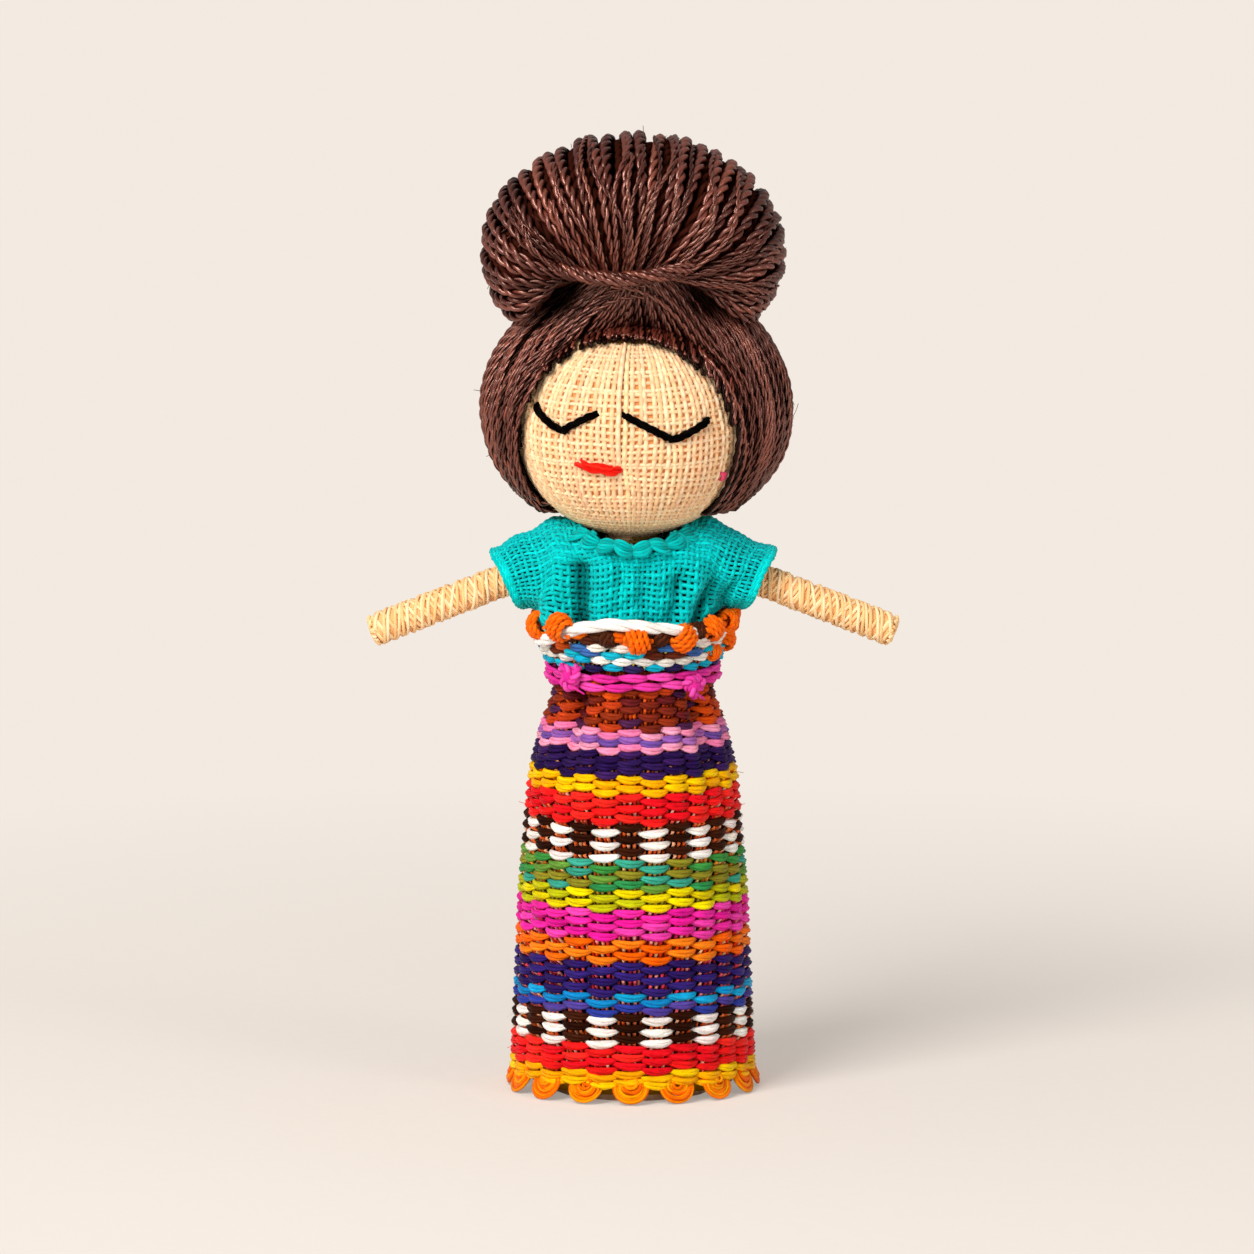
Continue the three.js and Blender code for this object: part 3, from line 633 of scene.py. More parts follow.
def skirt_cloth(material):
    """Ground under the weave in the band colours, darkened as painted shade between the threads, and
    turned in at the hem.
    """
    heights = np.concatenate([hem_heights[:-1], np.linspace(hem_heights[-1], 43.6, 120)])
    angles = np.arange(0, 360, 2)
    inset = np.interp(heights, hem_heights, hem_insets)
    outside = skirt_point(angles, heights[:, None], inset[:, None])
    names = [band_name(weft_rows[row][0], 0) for row in nearest_rows(heights)]
    bands = np.array([skirt_bands[name].mean(axis=0) for name in names])
    # Painted shade: the band colours at 0.4 of their brightness, seen between the threads
    tint = np.broadcast_to(0.4 * bands[:, None], outside.shape)
    return surface_piece("skirt_shade_ground", outside, tint, material)


fine_thread = thread_material("fine_thread", roughness=0.45, sheen=0.0, contrast=0.42, gloss=0.35)
# Matte ground for the backings, whose tints are painted shade seen between the threads
shaded_ground = thread_material("shaded_ground", roughness=0.85, contrast=0.5, gloss=0.08)

weft = [place(part, "trunk", "skirt_weave", "skirt_cloth") for part in skirt_weft(fine_thread)]
warp = place(skirt_warp(fine_thread), "trunk", "skirt_weave", "skirt_cloth")
ground = place(skirt_cloth(shaded_ground), "trunk", "skirt_weave", "skirt_cloth", "skirt_padding")

# Head: a stuffed ball of gauze with stitched features
head_centre = np.array([0.0, 0.0, 66.95])
head_half = np.array([11.5, 11.0, 10.7])
face_turn = -12
neck_half = 2.4
neck_latitude = -78
neck_turns = 3.4
neck_top = 56.1
neck_pitch = 0.36
gauze_columns = 100
gauze_pitch = 3.4
gauze_top = 58
gauze_column_radius = 0.26
gauze_row_radius = 0.215
gauze_wave = 0.05
gauze_cream = palette("#f9d2a5 #f3c597 #fbd9b0")
# Painted warm shade where the threads of the net dive under each other
gauze_dive_shade = rgb("#eeac72")
# Stitches from end to end, each end by its angle from the face's middle and its height there
eye_stitches = (
    ((-49, 3.2), (-26, 1.1)),
    ((-26, 1.1), (-7, 3.1)),
    ((7, 3.1), (32, 0.5)),
    ((32, 0.5), (54, 2.2)),
)
mouth_stitch = ((-19, -2.1), (4, -2.5))
ear_stitch = ((66, -3.4), (67, -4.2))
hair_hem = 58.85
opening_middle = (-0.7, 66.35)
opening_half = (10.9, 10.6)
# Strands of the mouth: shifts of both ends, and how high it lies
mouth_strands = ((3, -2, 0.42), (0, 1, 0.2), (-1, 2, 0.0), (2, 2, -0.2), (6, 1, -0.38))


def head_point(angle, latitude, out):
    """Point on the head, by its angle from the front and its latitude; below the chin, on the neck."""
    turn = np.radians(angle)
    up = np.radians(np.maximum(latitude, neck_latitude))
    below = np.clip((neck_latitude - latitude) / 10, 0, 1)
    half = head_half + np.asarray(out, float)[..., None]
    x = half[..., 0] * np.cos(up) * np.sin(turn)
    y = -half[..., 1] * np.cos(up) * np.cos(turn)
    z = half[..., 2] * np.sin(up) - below * 1.9
    return head_centre + xyz(x, y, z)


def face_point(angle, rise, out):
    """Point on the face, by its angle from the face's middle and its height above the head's centre."""
    latitude = np.degrees(np.arcsin(np.asarray(rise, float) / head_half[2]))
    return head_point(np.asarray(angle, float) + face_turn, latitude, np.asarray(out, float))


def pulled_in(points):
    """Points of the gauze drawn towards the ends of the stitches, as thread pulls it."""
    moved = points
    ends = [(end, 0.9, 0.28, 0.16) for stitch in eye_stitches for end in stitch]
    ends += [(mouth_stitch[0], 2.0, 0.3, 0.25), (mouth_stitch[1], 2.4, 0.5, 0.3)]
    for (angle, rise), reach, depth, draw in ends:
        hole = face_point(angle, rise, 0.0)
        far = np.linalg.norm(moved - hole, axis=-1, keepdims=True)
        near = np.exp(-((far / reach) ** 2))
        inwards = unit(head_centre - moved)
        moved = moved + draw * near * (hole - moved) + depth * near * inwards
    return moved


def beyond_opening(points):
    """How far points lie outside the face opening of the hair, negative inside it."""
    across = (points[..., 0] - opening_middle[0]) / opening_half[0]
    up = (points[..., 2] - opening_middle[1]) / opening_half[1]
    return (np.hypot(across, up) - 1) * opening_half[0]


def under_hair(points):
    """Share of the light that reaches the head beside and under the hair."""
    lit = ease(0.8, -0.1, beyond_opening(points)) * (points[..., 1] < 0)
    lit = np.maximum(lit, ease(hair_hem + 2.5, hair_hem, points[..., 2]))[..., None]
    return lit + (1 - lit) * np.array([0.2, 0.1, 0.07])


def gauze_tints(points, over, least, amount, seed):
    """Cream where a thread of the net lies over the others, painted warm shade where it dives, and
    painted shade under the hair.
    """
    cream = varied(gauze_cream[np.arange(len(points)) % 3], amount, seed)[:, None]
    share = least + (1 - least) * ease(-1, 0.4, over)[..., None]
    return (share * cream + (1 - share) * gauze_dive_shade) * under_hair(points)


def gauze(material):
    """Net of cream yarn, its columns gathered at the neck and crown."""
    chance = default_rng(21)
    latitudes = np.arange(gauze_top, -89, -gauze_pitch)
    columns = np.arange(gauze_columns) * 360 / gauze_columns
    columns = columns + chance.normal(0, 0.25, gauze_columns)
    drift = chance.normal(0, 0.3, (gauze_columns, 3))
    fine = np.linspace(60, -88, 178)
    wander = drift[:, :1] * np.sin(np.radians(fine * 3))
    wander = wander + drift[:, 1:2] * np.sin(np.radians(fine * 7) + 2)
    sign = np.where(np.arange(gauze_columns) % 2, 1, -1)[:, None]
    weave = sign * np.cos(np.pi * (gauze_top - fine) / gauze_pitch)
    ridge = 0.3 * np.exp(-((away(columns, -6) / 2.5) ** 2))[:, None] * ease(-14, 4, fine)
    upright = head_point(columns[:, None] + wander, fine, gauze_wave * weave + ridge)
    level = np.linspace(0, 360, 4 * gauze_columns + 1)
    lean = chance.normal(0, 0.35, (len(latitudes), 1))
    rows = latitudes[:, None] + lean + 0.5 * np.sin(np.radians(level * 5) + lean * 9)
    sign = np.where(np.arange(len(latitudes)) % 2, -1, 1)[:, None]
    crossing = sign * np.cos(np.pi * level * gauze_columns / 360)
    across = head_point(level, rows, gauze_wave * crossing - 0.03)
    gathered = (0.5 + 0.5 * ease(-80, -30, fine)) * (0.75 + 0.25 * ease(60, 40, fine))
    sets = (
        ("gauze_columns", upright, gauze_column_radius * gathered, (weave, 0.6, 0.07, 22)),
        ("gauze_rows", across, gauze_row_radius, (crossing, 0.55, 0.06, 23)),
    )
    pieces = []
    for name, points, radius, look in sets:
        threads = Threads().add(pulled_in(points), radius, gauze_tints(points, *look), capped=False)
        pieces.append(threads.piece(name, material))
    return pieces


def head_ball(material):
    """The stuffed ball under the net, drawn in at the neck."""
    latitudes = np.concatenate([np.linspace(89.9, -80, 100), np.linspace(-81, -88, 6)])
    angles = np.arange(0, 360, 2.5)
    pleats = 0.12 * np.cos(np.radians(angles * 16)) * ease(-62, -80, latitudes)[:, None]
    rows = head_point(angles, latitudes[:, None], pleats - 0.1)
    shade = ease(-70, -84, latitudes)[:, None, None]
    tint = ((1 - shade) * rgb("#ea9a58") + shade * rgb("#b88a4c")) * under_hair(rows)
    return surface_piece("head_ball", pulled_in(rows)[::-1], tint[::-1], material)


def stitch_path(start, end, out, steps=24):
    """Path of a stitch over the face, whose ends go into the cloth."""
    share = np.linspace(0, 1, steps)
    angle = start[0] + (end[0] - start[0]) * share
    rise = start[1] + (end[1] - start[1]) * share
    lift = -0.45 + (out + 0.45) * np.clip(5 * np.minimum(share, 1 - share), 0, 1) ** 0.6
    return face_point(angle, rise, lift)


def eyes(name, stitches, material):
    """A closed eye: two stitches of black thread."""
    threads = Threads()
    black = palette("#070505 #0a0807 #050404")
    for k, (start, end) in enumerate(stitches):
        path = stitch_path(start, end, 0.42, 60)
        threads.yarn("eye", path, black, plies=3, phase=k, sides=6, turn=1.5)
    return threads.piece(name, material)


def mouth(material):
    """A mouth of red satin stitches laid side by side."""
    threads = Threads()
    red = palette("#e81c10 #f02a1a #d8140c")
    share = np.linspace(-1, 1, 26)
    for k, (start, end, rise) in enumerate(mouth_strands):
        first = (mouth_stitch[0][0] + start, mouth_stitch[0][1])
        last = (mouth_stitch[1][0] + end, mouth_stitch[1][1])
        path = stitch_path(first, last, 0.4 - 0.5 * rise**2, 26)
        path[:, 2] += rise * (1 - 0.5 * share**4) + 0.08 * np.sin(5 * share + 2 * k)
        threads.yarn("mouth", path, red[k % 3], phase=k, sides=6, turn=1.0)
    return threads.piece("mouth", material)


def ear(material):
    """A short pink stitch at the edge of the face."""
    threads = Threads()
    for k in (-1, 0, 1):
        path = stitch_path(*ear_stitch, 0.4, 12) + np.array([0.12 * k, 0.2 * k, 0.05 * k])
        threads.add(path, 0.17, rgb("#ee5078"), sides=6)
    return threads.piece("ear_mark", material)


def neck(material):
    """Turns of olive thread that draw the gauze in at the neck."""
    turn = np.linspace(0, neck_turns * 2 * np.pi, 150)
    radius = neck_half + 0.18
    height = neck_top - neck_pitch * turn / (2 * np.pi)
    path = xyz(radius * np.sin(turn), -radius * np.cos(turn), height)
    return Threads().yarn("neck", path, rgb("#80682e"), turn=0.0).piece("neck_turns", material)


yarn = thread_material("gauze_yarn", roughness=0.7, fibres=3.0, contrast=0.2, gloss=0.15)
stuffing = thread_material("stuffed_ball", roughness=0.8, contrast=0.35, gloss=0.1)
satin = thread_material("satin_thread", roughness=0.42, fibres=3.4, contrast=0.35, bump=0.6, gloss=0.4)
for part in gauze(yarn):
    place(part, "head", "head_gauze", "head_cloth")
ball = place(head_ball(stuffing), "head", "head_gauze", "head_cloth", "head_stuffing")
black_thread = thread_material("black_thread", sheen=0.0, contrast=0.5, bump=0.8, gloss=0.12)
for side, stitches in (("right", eye_stitches[:2]), ("left", eye_stitches[2:])):
    place(eyes(f"{side}_eye", stitches, black_thread), "head", "black_thread", f"{side}_eye_stitch")
place(mouth(satin), "head", "red_thread", "mouth_stitch")
place(ear(satin), "head", "red_thread", "ear_stitch")
place(neck(satin), "head", "head_gauze", "neck_thread")

# Hair: strands that fall from the crown round the face
hair_centre = np.array([0.4, 2.0, 68.35])
hair_half = np.array([15.4, 13.2, 13.9])
hair_low_half = 12.7
tie_ring = (7.8, 7.0, 83.4)
tie_ring_back = 0.4
drawn_up = (50, 18)
left_sweep = 34
right_sweep = 24
edge_hold = 0.8
right_edge_loss = 0.5
hair_strands = 250
edge_cover = -0.1
edge_roll = 9.0
edge_lift = 1.6
edge_strands = 8
edge_tuck = np.array([[0.35], [0.95], [1.7]])
hair_tints = palette("#5e281d #682f24 #4c1d15 #733829 #431811")
# Pieces of the hair, from one angle to another
hair_quarters = (
    ("hair_front_right", -90, 0),
    ("hair_front_left", 0, 90),
    ("hair_back_left", 90, 181),
    ("hair_back_right", -200, -90),
)
crown_strands = 14
raised_light = 1.6
sunk_light = 0.1
sunk_edge_light = 0.35


def hair_point(angle, polar, out):
    """Point on the cap of hair, by its angle from the front and from the crown, where it is drawn up."""
    angle, polar, out = np.broadcast_arrays(angle, polar, out)
    turn = np.radians(angle)
    down = np.radians(polar)
    half = hair_half + out[..., None]
    tall = np.where(down < np.pi / 2, half[..., 2], half[..., 2] - hair_half[2] + hair_low_half)
    x = half[..., 0] * np.sin(down) * np.sin(turn)
    y = -half[..., 1] * np.sin(down) * np.cos(turn)
    cap = hair_centre + xyz(x, y, tall * np.cos(down))
    ring_y = tie_ring_back - (tie_ring[1] + out) * np.cos(turn)
    ring = xyz((tie_ring[0] + out) * np.sin(turn), ring_y, tie_ring[2])
    return rolled_in(cap + ease(*drawn_up, polar)[..., None] * (ring - cap))


def rolled_in(points):
    """Points of the hair near the face opening, moved back towards the face as the edge rolls under."""
    x, y, z = np.moveaxis(points, -1, 0)
    beyond = beyond_opening(points)
    level = 1 - (x / head_half[0]) ** 2 - ((z - head_centre[2]) / head_half[2]) ** 2
    face = -head_half[1] * np.sqrt(np.clip(level, 0, 1)) - edge_lift
    hold = edge_hold - right_edge_loss * ease(-6, -10.5, x)
    beside = (y < 0) * ease(hair_hem - 2, hair_hem + 3, z)
    near = hold * np.clip(1 - beyond / edge_roll, 0, 1) ** 2 * beside
    return xyz(x, y + near * np.maximum(face - y, 0), z)


def uncovered(points, margin=0.0):
    """Whether points of the cap lie in the face opening or below the hem."""
    across = (points[..., 0] - opening_middle[0]) / (opening_half[0] - margin)
    up = (points[..., 2] - opening_middle[1]) / (opening_half[1] - margin)
    inside = (across**2 + up**2 < 1) & (points[..., 1] < 0)
    return inside | (points[..., 2] < hair_hem)


def reach_of(angles, polars, margin=0.0):
    """Index of the last polar angle at which each line of hair still covers the head."""
    bare = uncovered(hair_point(angles, polars, 0.0), margin)
    return np.where(bare.any(axis=1), bare.argmax(axis=1), bare.shape[1] - 1)


def edge_inwards(points):
    """Direction in which the hair turns in at its edge: back beside the face, towards the neck below."""
    back = np.array([0.0, 1.0, 0.0])
    beside = (points[..., 1:2] < 0) & (points[..., 2:3] > hair_hem + 0.8)
    middle = np.concatenate([points[..., :2] * 0, points[..., 2:3]], axis=-1)
    return np.where(beside, back, unit(middle - points))


def hair_base(material):
    """Under-hair painted near black as the shade between the strands, turned in to the head at its edge.
    """
    angles = np.arange(0, 360, 1.5)
    polars = np.linspace(0.5, 170, 1200)
    limit = polars[reach_of(angles[:, None], polars, -1.0)] - 1.5
    rows = [hair_point(angles, 0.5 + (limit - 0.5) * t, -0.55) for t in np.linspace(0, 1, 60)]
    inwards = edge_inwards(rows[-1])
    rows += [rows[-1] + far * inwards for far in (0.5, 1.4, 2.8, 4.4)]
    # Painted shade: near black where the strands part
    return surface_piece("hair_base", np.array(rows)[::-1], rgb("#150806"), material)


def hair_paths():
    """A line of hair for each strand, turned under at the edge."""
    chance = default_rng(31)
    angles = np.arange(hair_strands) * 360 / hair_strands - 180
    lock = np.sin(np.radians(angles * 23)) + 0.6 * np.sin(np.radians(angles * 41) + 1)
    angles = angles + 0.7 * lock + chance.normal(0, 0.9, hair_strands)
    left = left_sweep * ease(4, 34, angles) * ease(125, 60, angles)
    right = -right_sweep * ease(-4, -34, angles) * ease(-125, -60, angles)
    starts = chance.uniform(12, 18, hair_strands)
    wave = chance.uniform(0, 2 * np.pi, hair_strands)
    depth = np.where(np.arange(hair_strands) % 2, 0.0, -0.34) + chance.normal(0, 0.07, hair_strands)
    parting = np.linspace(-15, 15, crown_strands) + chance.normal(0, 0.8, crown_strands)
    angles = np.concatenate([angles, parting])
    sweeps = np.concatenate([left + right, np.linspace(-9, 9, crown_strands)])
    starts = np.concatenate([starts, chance.uniform(12, 15, crown_strands)])
    wave = np.concatenate([wave, chance.uniform(0, 2 * np.pi, crown_strands)])
    depth = np.concatenate([depth, chance.uniform(0.06, 0.2, crown_strands)])
    made = []
    for angle, sweep, start, turn, out in zip(angles, sweeps, starts, wave, depth):
        polar = np.linspace(start, 165, 700)
        drift = sweep * (ease(8, 54, polar) - 1) + 0.7 * np.sin(np.radians(polar * 3) + turn)
        line = angle + drift
        last = max(int(reach_of(line[None], polar[None], edge_cover)[0]), 40)
        lifts = out + 0.12 * np.sin(np.radians(polar[:last] * 5) + 2 * turn)
        lying = hair_point(line[:last], polar[:last], lifts)
        tuck = lying[-1] + edge_tuck * edge_inwards(lying[-1])
        made.append(resampled(np.concatenate([lying, tuck]), 96))
    return angles, depth, np.array(made)


def edge_paths():
    """Strands that sweep from the parting along the edge of the face opening, on both sides."""
    chance = default_rng(35)
    made = []
    for side in (-1, 1):
        for k in range(edge_strands):
            turn = np.linspace(-6, 122, 240)
            gather = (4.4 if side > 0 else 3.4) + 0.2 * k
            wide = 0.8 + 0.4 * k + gather * (1 - ease(-6, 42, turn)) + 0.1 * np.sin(turn * 0.07 + 2 * k)
            angle = np.radians(turn)
            x = opening_middle[0] + side * (opening_half[0] + wide) * np.sin(angle)
            z = opening_middle[1] + (opening_half[1] + wide) * np.cos(angle)
            out = 0.3 - 0.05 * k - 0.2 * (k % 2) + 0.04 * chance.normal()
            made.append(resampled(over_cap(x, z, out), 96))
    return np.array(made)


def over_cap(x, z, out):
    """Points on the front of the cap over the places given across and up."""
    polars = np.linspace(1, 150, 600)
    line = hair_point(0.0, polars, out)
    ring = hair_point(90.0, polars, out)
    polar = np.interp(-z, -line[:, 2], polars)
    reach = np.interp(polar, polars, ring[:, 0])
    angle = np.degrees(np.arcsin(np.clip(x / reach, -1, 1)))
    return hair_point(angle, polar, out)


def picked_tints(count, amount, seed):
    """Hair tints picked by chance and varied."""
    picks = default_rng(seed).integers(len(hair_tints), size=count)
    return varied(hair_tints[picks], amount, seed + 1)


def two_ply(kind, paths, tints, **look):
    """Yarn of two plies along each path, with a tint for each path."""
    return Threads().yarn(kind, paths, np.concatenate([tints, tints]), **look)


def hair_strand_pieces(material):
    """The strands in four pieces round the head, and those along the face in one more."""
    angles, depth, paths = hair_paths()
    lit = np.where(depth > -0.17, raised_light, sunk_light)
    tints = picked_tints(len(paths), 0.12, 33) * lit[:, None]
    # Painted shade: strands dark in the hollows beside the bun's tie
    hollow_shade = ease(2.8, 6.0, np.abs(paths[..., 0])) * ease(76.5, 79.8, paths[..., 2])
    tints = tints[:, None] * (1 - 0.96 * hollow_shade[..., None])
    groups = []
    for name, low, high in hair_quarters:
        chosen = (angles >= low) & (angles < high)
        groups.append((name, "hair", paths[chosen], tints[chosen]))
    edge = edge_paths()
    number = np.arange(len(edge))
    tints = varied(hair_tints[number % len(hair_tints)], 0.12, 36)
    tints = tints * np.where(number % 2, sunk_edge_light, raised_light)[:, None]
    groups.append(("hair_edge", "hair_edge", edge, tints))
    pieces = []
    for name, *group in groups:
        pieces.append(two_ply(*group, turn=2.0, centre=hair_centre).piece(name, material))
    return pieces


hair_thread = thread_material(
    "hair_thread",
    roughness=0.24,
    sheen=0.0,
    fibres=2.4,
    contrast=0.5,
    gloss=1.0,
    shine=(1, 0.58, 0.48),
    ior=1.62,
)
# Matte material for the painted shade under the hair and inside the bun
shade_base = thread_material("hair_shade_base", roughness=0.9, sheen=0.0, contrast=0.4, gloss=0.02)
place(hair_base(shade_base), "head", "hair_cord", "hair_cap")
for part in hair_strand_pieces(hair_thread):
    place(part, "head", "hair_cord", "hair_cap")

# Bun: a hank of cord looped from side to side and gathered in front and behind
bun_middle = 84.65
bun_half = (14.75, 11.35, 9.5)
bun_shift = 1.0
bun_heart = np.array([0.0, bun_shift, bun_middle])
bun_fan = (-36, 216)
bun_cords = 40
bun_loose = 22
bun_gather_arch = (8.5, 79.9, 3.0)
bun_tie_points = (
    (-8.6, -4.6, 84.9),
    (-7.4, -6.9, 84.3),
    (-4.2, -8.3, 83.6),
    (-0.6, -8.9, 83.5),
    (3.0, -8.6, 83.9),
    (5.6, -7.3, 84.5),
    (6.6, -4.8, 84.7),
)
# Gathers of the bun: start and span across, distance from the middle, and height
bun_front = (6.4, 14.2, 6.2, 82.9)
bun_behind = (7.0, 14.0, 6.6, 82.2)
bun_bow = (0.9, 0.5)
# Near black of the painted shade inside and under the bun
bun_shade = rgb("#0c0403")


def bun_point(share, turn, inset):
    """Point of a loop of the bun: its share of the fan, its turn from the rim, and how deep it lies."""
    share, turn, inset = np.broadcast_arrays(share, turn, inset)
    fan = np.radians(bun_fan[0] + (bun_fan[1] - bun_fan[0]) * share)
    rim = xyz(bun_half[0] * np.cos(fan), 0.0, bun_middle + bun_half[1] * np.sin(fan))
    arch = np.pi * share
    bow = np.sin(arch)
    gather = xyz(bun_gather_arch[0] * np.cos(arch), 0.0, bun_gather_arch[1] + bun_gather_arch[2] * bow)
    reach = 0.5 * np.linalg.norm(rim - gather, axis=-1) - inset
    deep = bun_half[2] * (0.8 + 0.2 * np.sin(fan)) - inset
    bend = np.radians(turn)
    loop = 0.5 * (rim + gather) + (reach * np.cos(bend))[..., None] * unit(rim - gather)
    loop[..., 1] = bun_shift - deep * np.sin(bend)
    ends = []
    for sign, (first, span, far, high) in ((-1, bun_front), (1, bun_behind)):
        y = sign * (far + bun_bow[0] * bow - inset)
        ends.append(xyz(first - span * share, y, high + bun_bow[1] * bow))
    drawn = ease(70, 150, np.abs(turn))[..., None]
    return loop + drawn * (np.where((turn > 0)[..., None], *ends) - loop)


def bun_cord_paths(count, depth, steps, seed):
    """A loop of cord for each place in the fan, from the front gather over the rim to the back."""
    chance = default_rng(seed)
    share = (np.arange(count) + 0.5) / count
    share = share + chance.normal(0, 0.0032, count)
    made = []
    for k, place_at in enumerate(share):
        turn = np.linspace(152, -152, 400)
        near = ease(60, 150, np.abs(turn))
        inset = depth + 0.85 * (k % 2) * near + chance.normal(0, 0.07) + 0.14 * (k % 3 == 0)
        sway = 0.0045 * np.sin(np.radians(turn * 2) + k * 2.4)
        made.append(resampled(bun_point(place_at + sway, turn, inset), steps))
    return np.array(made)


def bun_cord_pieces(material, under_material):
    """The cords of the bun, in a left and a right piece over a deeper layer; the deeper layer and the
    cord ends near the gathers are darkened as painted shade.
    """
    paths = bun_cord_paths(bun_cords, 0.0, 170, 41)
    along = np.linspace(0, 1, paths.shape[1])
    full = 0.52 + 0.48 * ease(0, 0.42, along) * ease(1, 0.58, along)
    shares = np.abs(np.linspace(-1, 1, bun_cords))
    # Painted shade on the side cords near the gathers
    gather_shade = ease(0.45, 0.8, shares)[:, None] * (1 - ease(0, 0.2, along) * ease(1, 0.8, along))
    tints = 1.2 * picked_tints(bun_cords, 0.1, 43)[:, None] * (1 - 0.85 * gather_shade[..., None])
    pieces = []
    half = bun_cords // 2
    for name, chosen in (("bun_left", slice(0, half)), ("bun_right", slice(half, bun_cords))):
        threads = two_ply("bun", paths[chosen], tints[chosen], full=full, sides=6, centre=bun_heart)
        pieces.append(threads.piece(name, material))
    under = bun_cord_paths(bun_cords - 1, 0.75, 110, 42)
    # Painted shade: the deeper layer is a dark brown
    dark = varied(np.broadcast_to(rgb("#3a1810"), (bun_cords - 1, 3)), 0.2, 45)
    pieces.append(two_ply("bun_under", under, dark).piece("bun_under", under_material))
    return pieces


def bun_loose_strands(material):
    """Thin strands that stray over the front of the hank."""
    chance = default_rng(46)
    paths = []
    for k in range(bun_loose):
        turn = np.linspace(150, chance.uniform(-40, 60), 200)
        stray = chance.normal(0, 0.05) * ease(150, 20, turn) + 0.006 * np.sin(np.radians(4 * turn) + k)
        share = np.clip(chance.uniform(0.06, 0.94) + stray, 0.01, 0.99)
        lift = -0.45 + 0.25 * ease(110, 150, turn)
        paths.append(resampled(bun_point(share, turn, lift), 110))
    tints = varied(hair_tints[np.arange(bun_loose) % len(hair_tints)], 0.15, 47)
    threads = two_ply("bun_loose", np.array(paths), tints, centre=bun_heart)
    return threads.piece("bun_loose_strands", material)


def bun_core(material):
    """Inside of the hank, painted near black as shade."""
    shares = np.linspace(0.01, 0.99, 60)
    turns = np.linspace(-180, 180, 73)[:-1]
    rows = [bun_point(share, turns, 1.5) for share in shares]
    ends = [np.broadcast_to(row.mean(axis=0), row.shape) for row in (rows[0], rows[-1])]
    closed = np.array([ends[0], *rows, ends[1]])
    return surface_piece("bun_core", closed, bun_shade, material)


def bun_root(material):
    """Plug of hair under the hank, inside the drawn-up crown, painted near black as shade."""
    angles = np.arange(0, 360, 4)
    rows = [hair_point(angles, polar, -0.5) for polar in (44.0, 30.0, 18.0)]
    above = rows[-1] * [0.9, 0.9, 1] + [0, 0, 1.5]
    return surface_piece("bun_root", np.array([*rows, above]), bun_shade, material)


def bun_tie(material):
    """Twisted strand laid across the front of the gather."""
    strands = plied(spline(bun_tie_points, 120), 0.5, 7.5, plies=5)
    return two_ply("bun_tie", strands, 0.8 * hair_tints, sides=6).piece("bun_binding", material)


for part in bun_cord_pieces(hair_thread, shade_base):
    place(part, "head", "hair_cord", "bun_hank")
core = place(bun_core(shade_base), "head", "hair_cord", "bun_padding")
place(bun_root(shade_base), "head", "hair_cord", "bun_padding")
place(bun_tie(hair_thread), "head", "hair_cord", "bun_tie")
place(bun_loose_strands(hair_thread), "head", "hair_cord", "bun_hank")

# Blouse: plain-woven cloth laid over the shoulders, open at the neck and sleeves
blouse_top = 57.05
shoulder_top = 57.35
blouse_low = 46.55
sleeve_reach = 14.55
sleeve_under = 10.7
sleeve_low = 48.65
neck_hole = (5.5, 4.7)
neck_front = 6.0
neck_leaves = 22
neck_drop = 1.3
chest_height = 52
blouse_threads = (46, 52)
blouse_wave = 0.08
blouse_tints = palette("#00c6c6 #00bcbc #00cecc #00b2b4")
trim_tints = palette("#04ccca #08dad8 #03bebc")
# Neckline puffs in the blouse's teal, darker as painted shade
leaf_shade_tints = palette("#02b0ae #04bebc #029c9a")
sleeve_hems = (0.965, 0.985, 1.0)
shortest_run = 5
blouse_depths = ((0, 4, 6.5, 8.5, 11, 14.8), (6.95, 6.6, 5.7, 4.8, 4.1, 3.7))
shoulder_slope = 3.4
shoulder_round = 3.2
front_share = 0.52
arm_pivot = (8.0, 53.35)
arm_droop = 21.5
# Folds: upper and lower end across and up, front or back, half width, and depth or else height
blouse_folds = (
    ((-5.4, 54.6), (-5.2, 47.5), -1, 1.15, 1.5),
    ((-8.0, 53.6), (-7.9, 48.0), -1, 1.3, -0.8),
    ((-2.6, 54.5), (-3.0, 47.5), -1, 1.3, -0.5),
    ((8.2, 52.6), (6.0, 47.5), -1, 1.0, 1.2),
    ((10.2, 52.0), (8.4, 48.6), -1, 0.8, 0.8),
    ((4.8, 53.4), (3.6, 47.5), -1, 0.9, 0.9),
    ((6.4, 53.4), (4.8, 47.5), -1, 0.8, -0.5),
    ((0.6, 53.0), (1.4, 47.5), -1, 1.0, 0.5),
    ((3.0, 55.0), (4.4, 47.5), 1, 0.9, 0.7),
    ((-3.4, 55.0), (-2.6, 47.5), 1, 0.9, 0.7),
)


def draped(across, round_share):
    """The two shares of a point of the blouse, shifted as the cloth drags between shoulders and waist."""
    loose = (1 - across**2) * (1 - round_share**2)
    drag = 0.05 * np.sin(5.2 * across + 0.6) + 0.028 * np.sin(9.7 * across + 5 * round_share)
    side = 0.035 * np.sin(6.1 * round_share + 3 * across) + 0.02 * np.sin(11 * round_share + 1)
    return across + loose * side, round_share + loose * drag


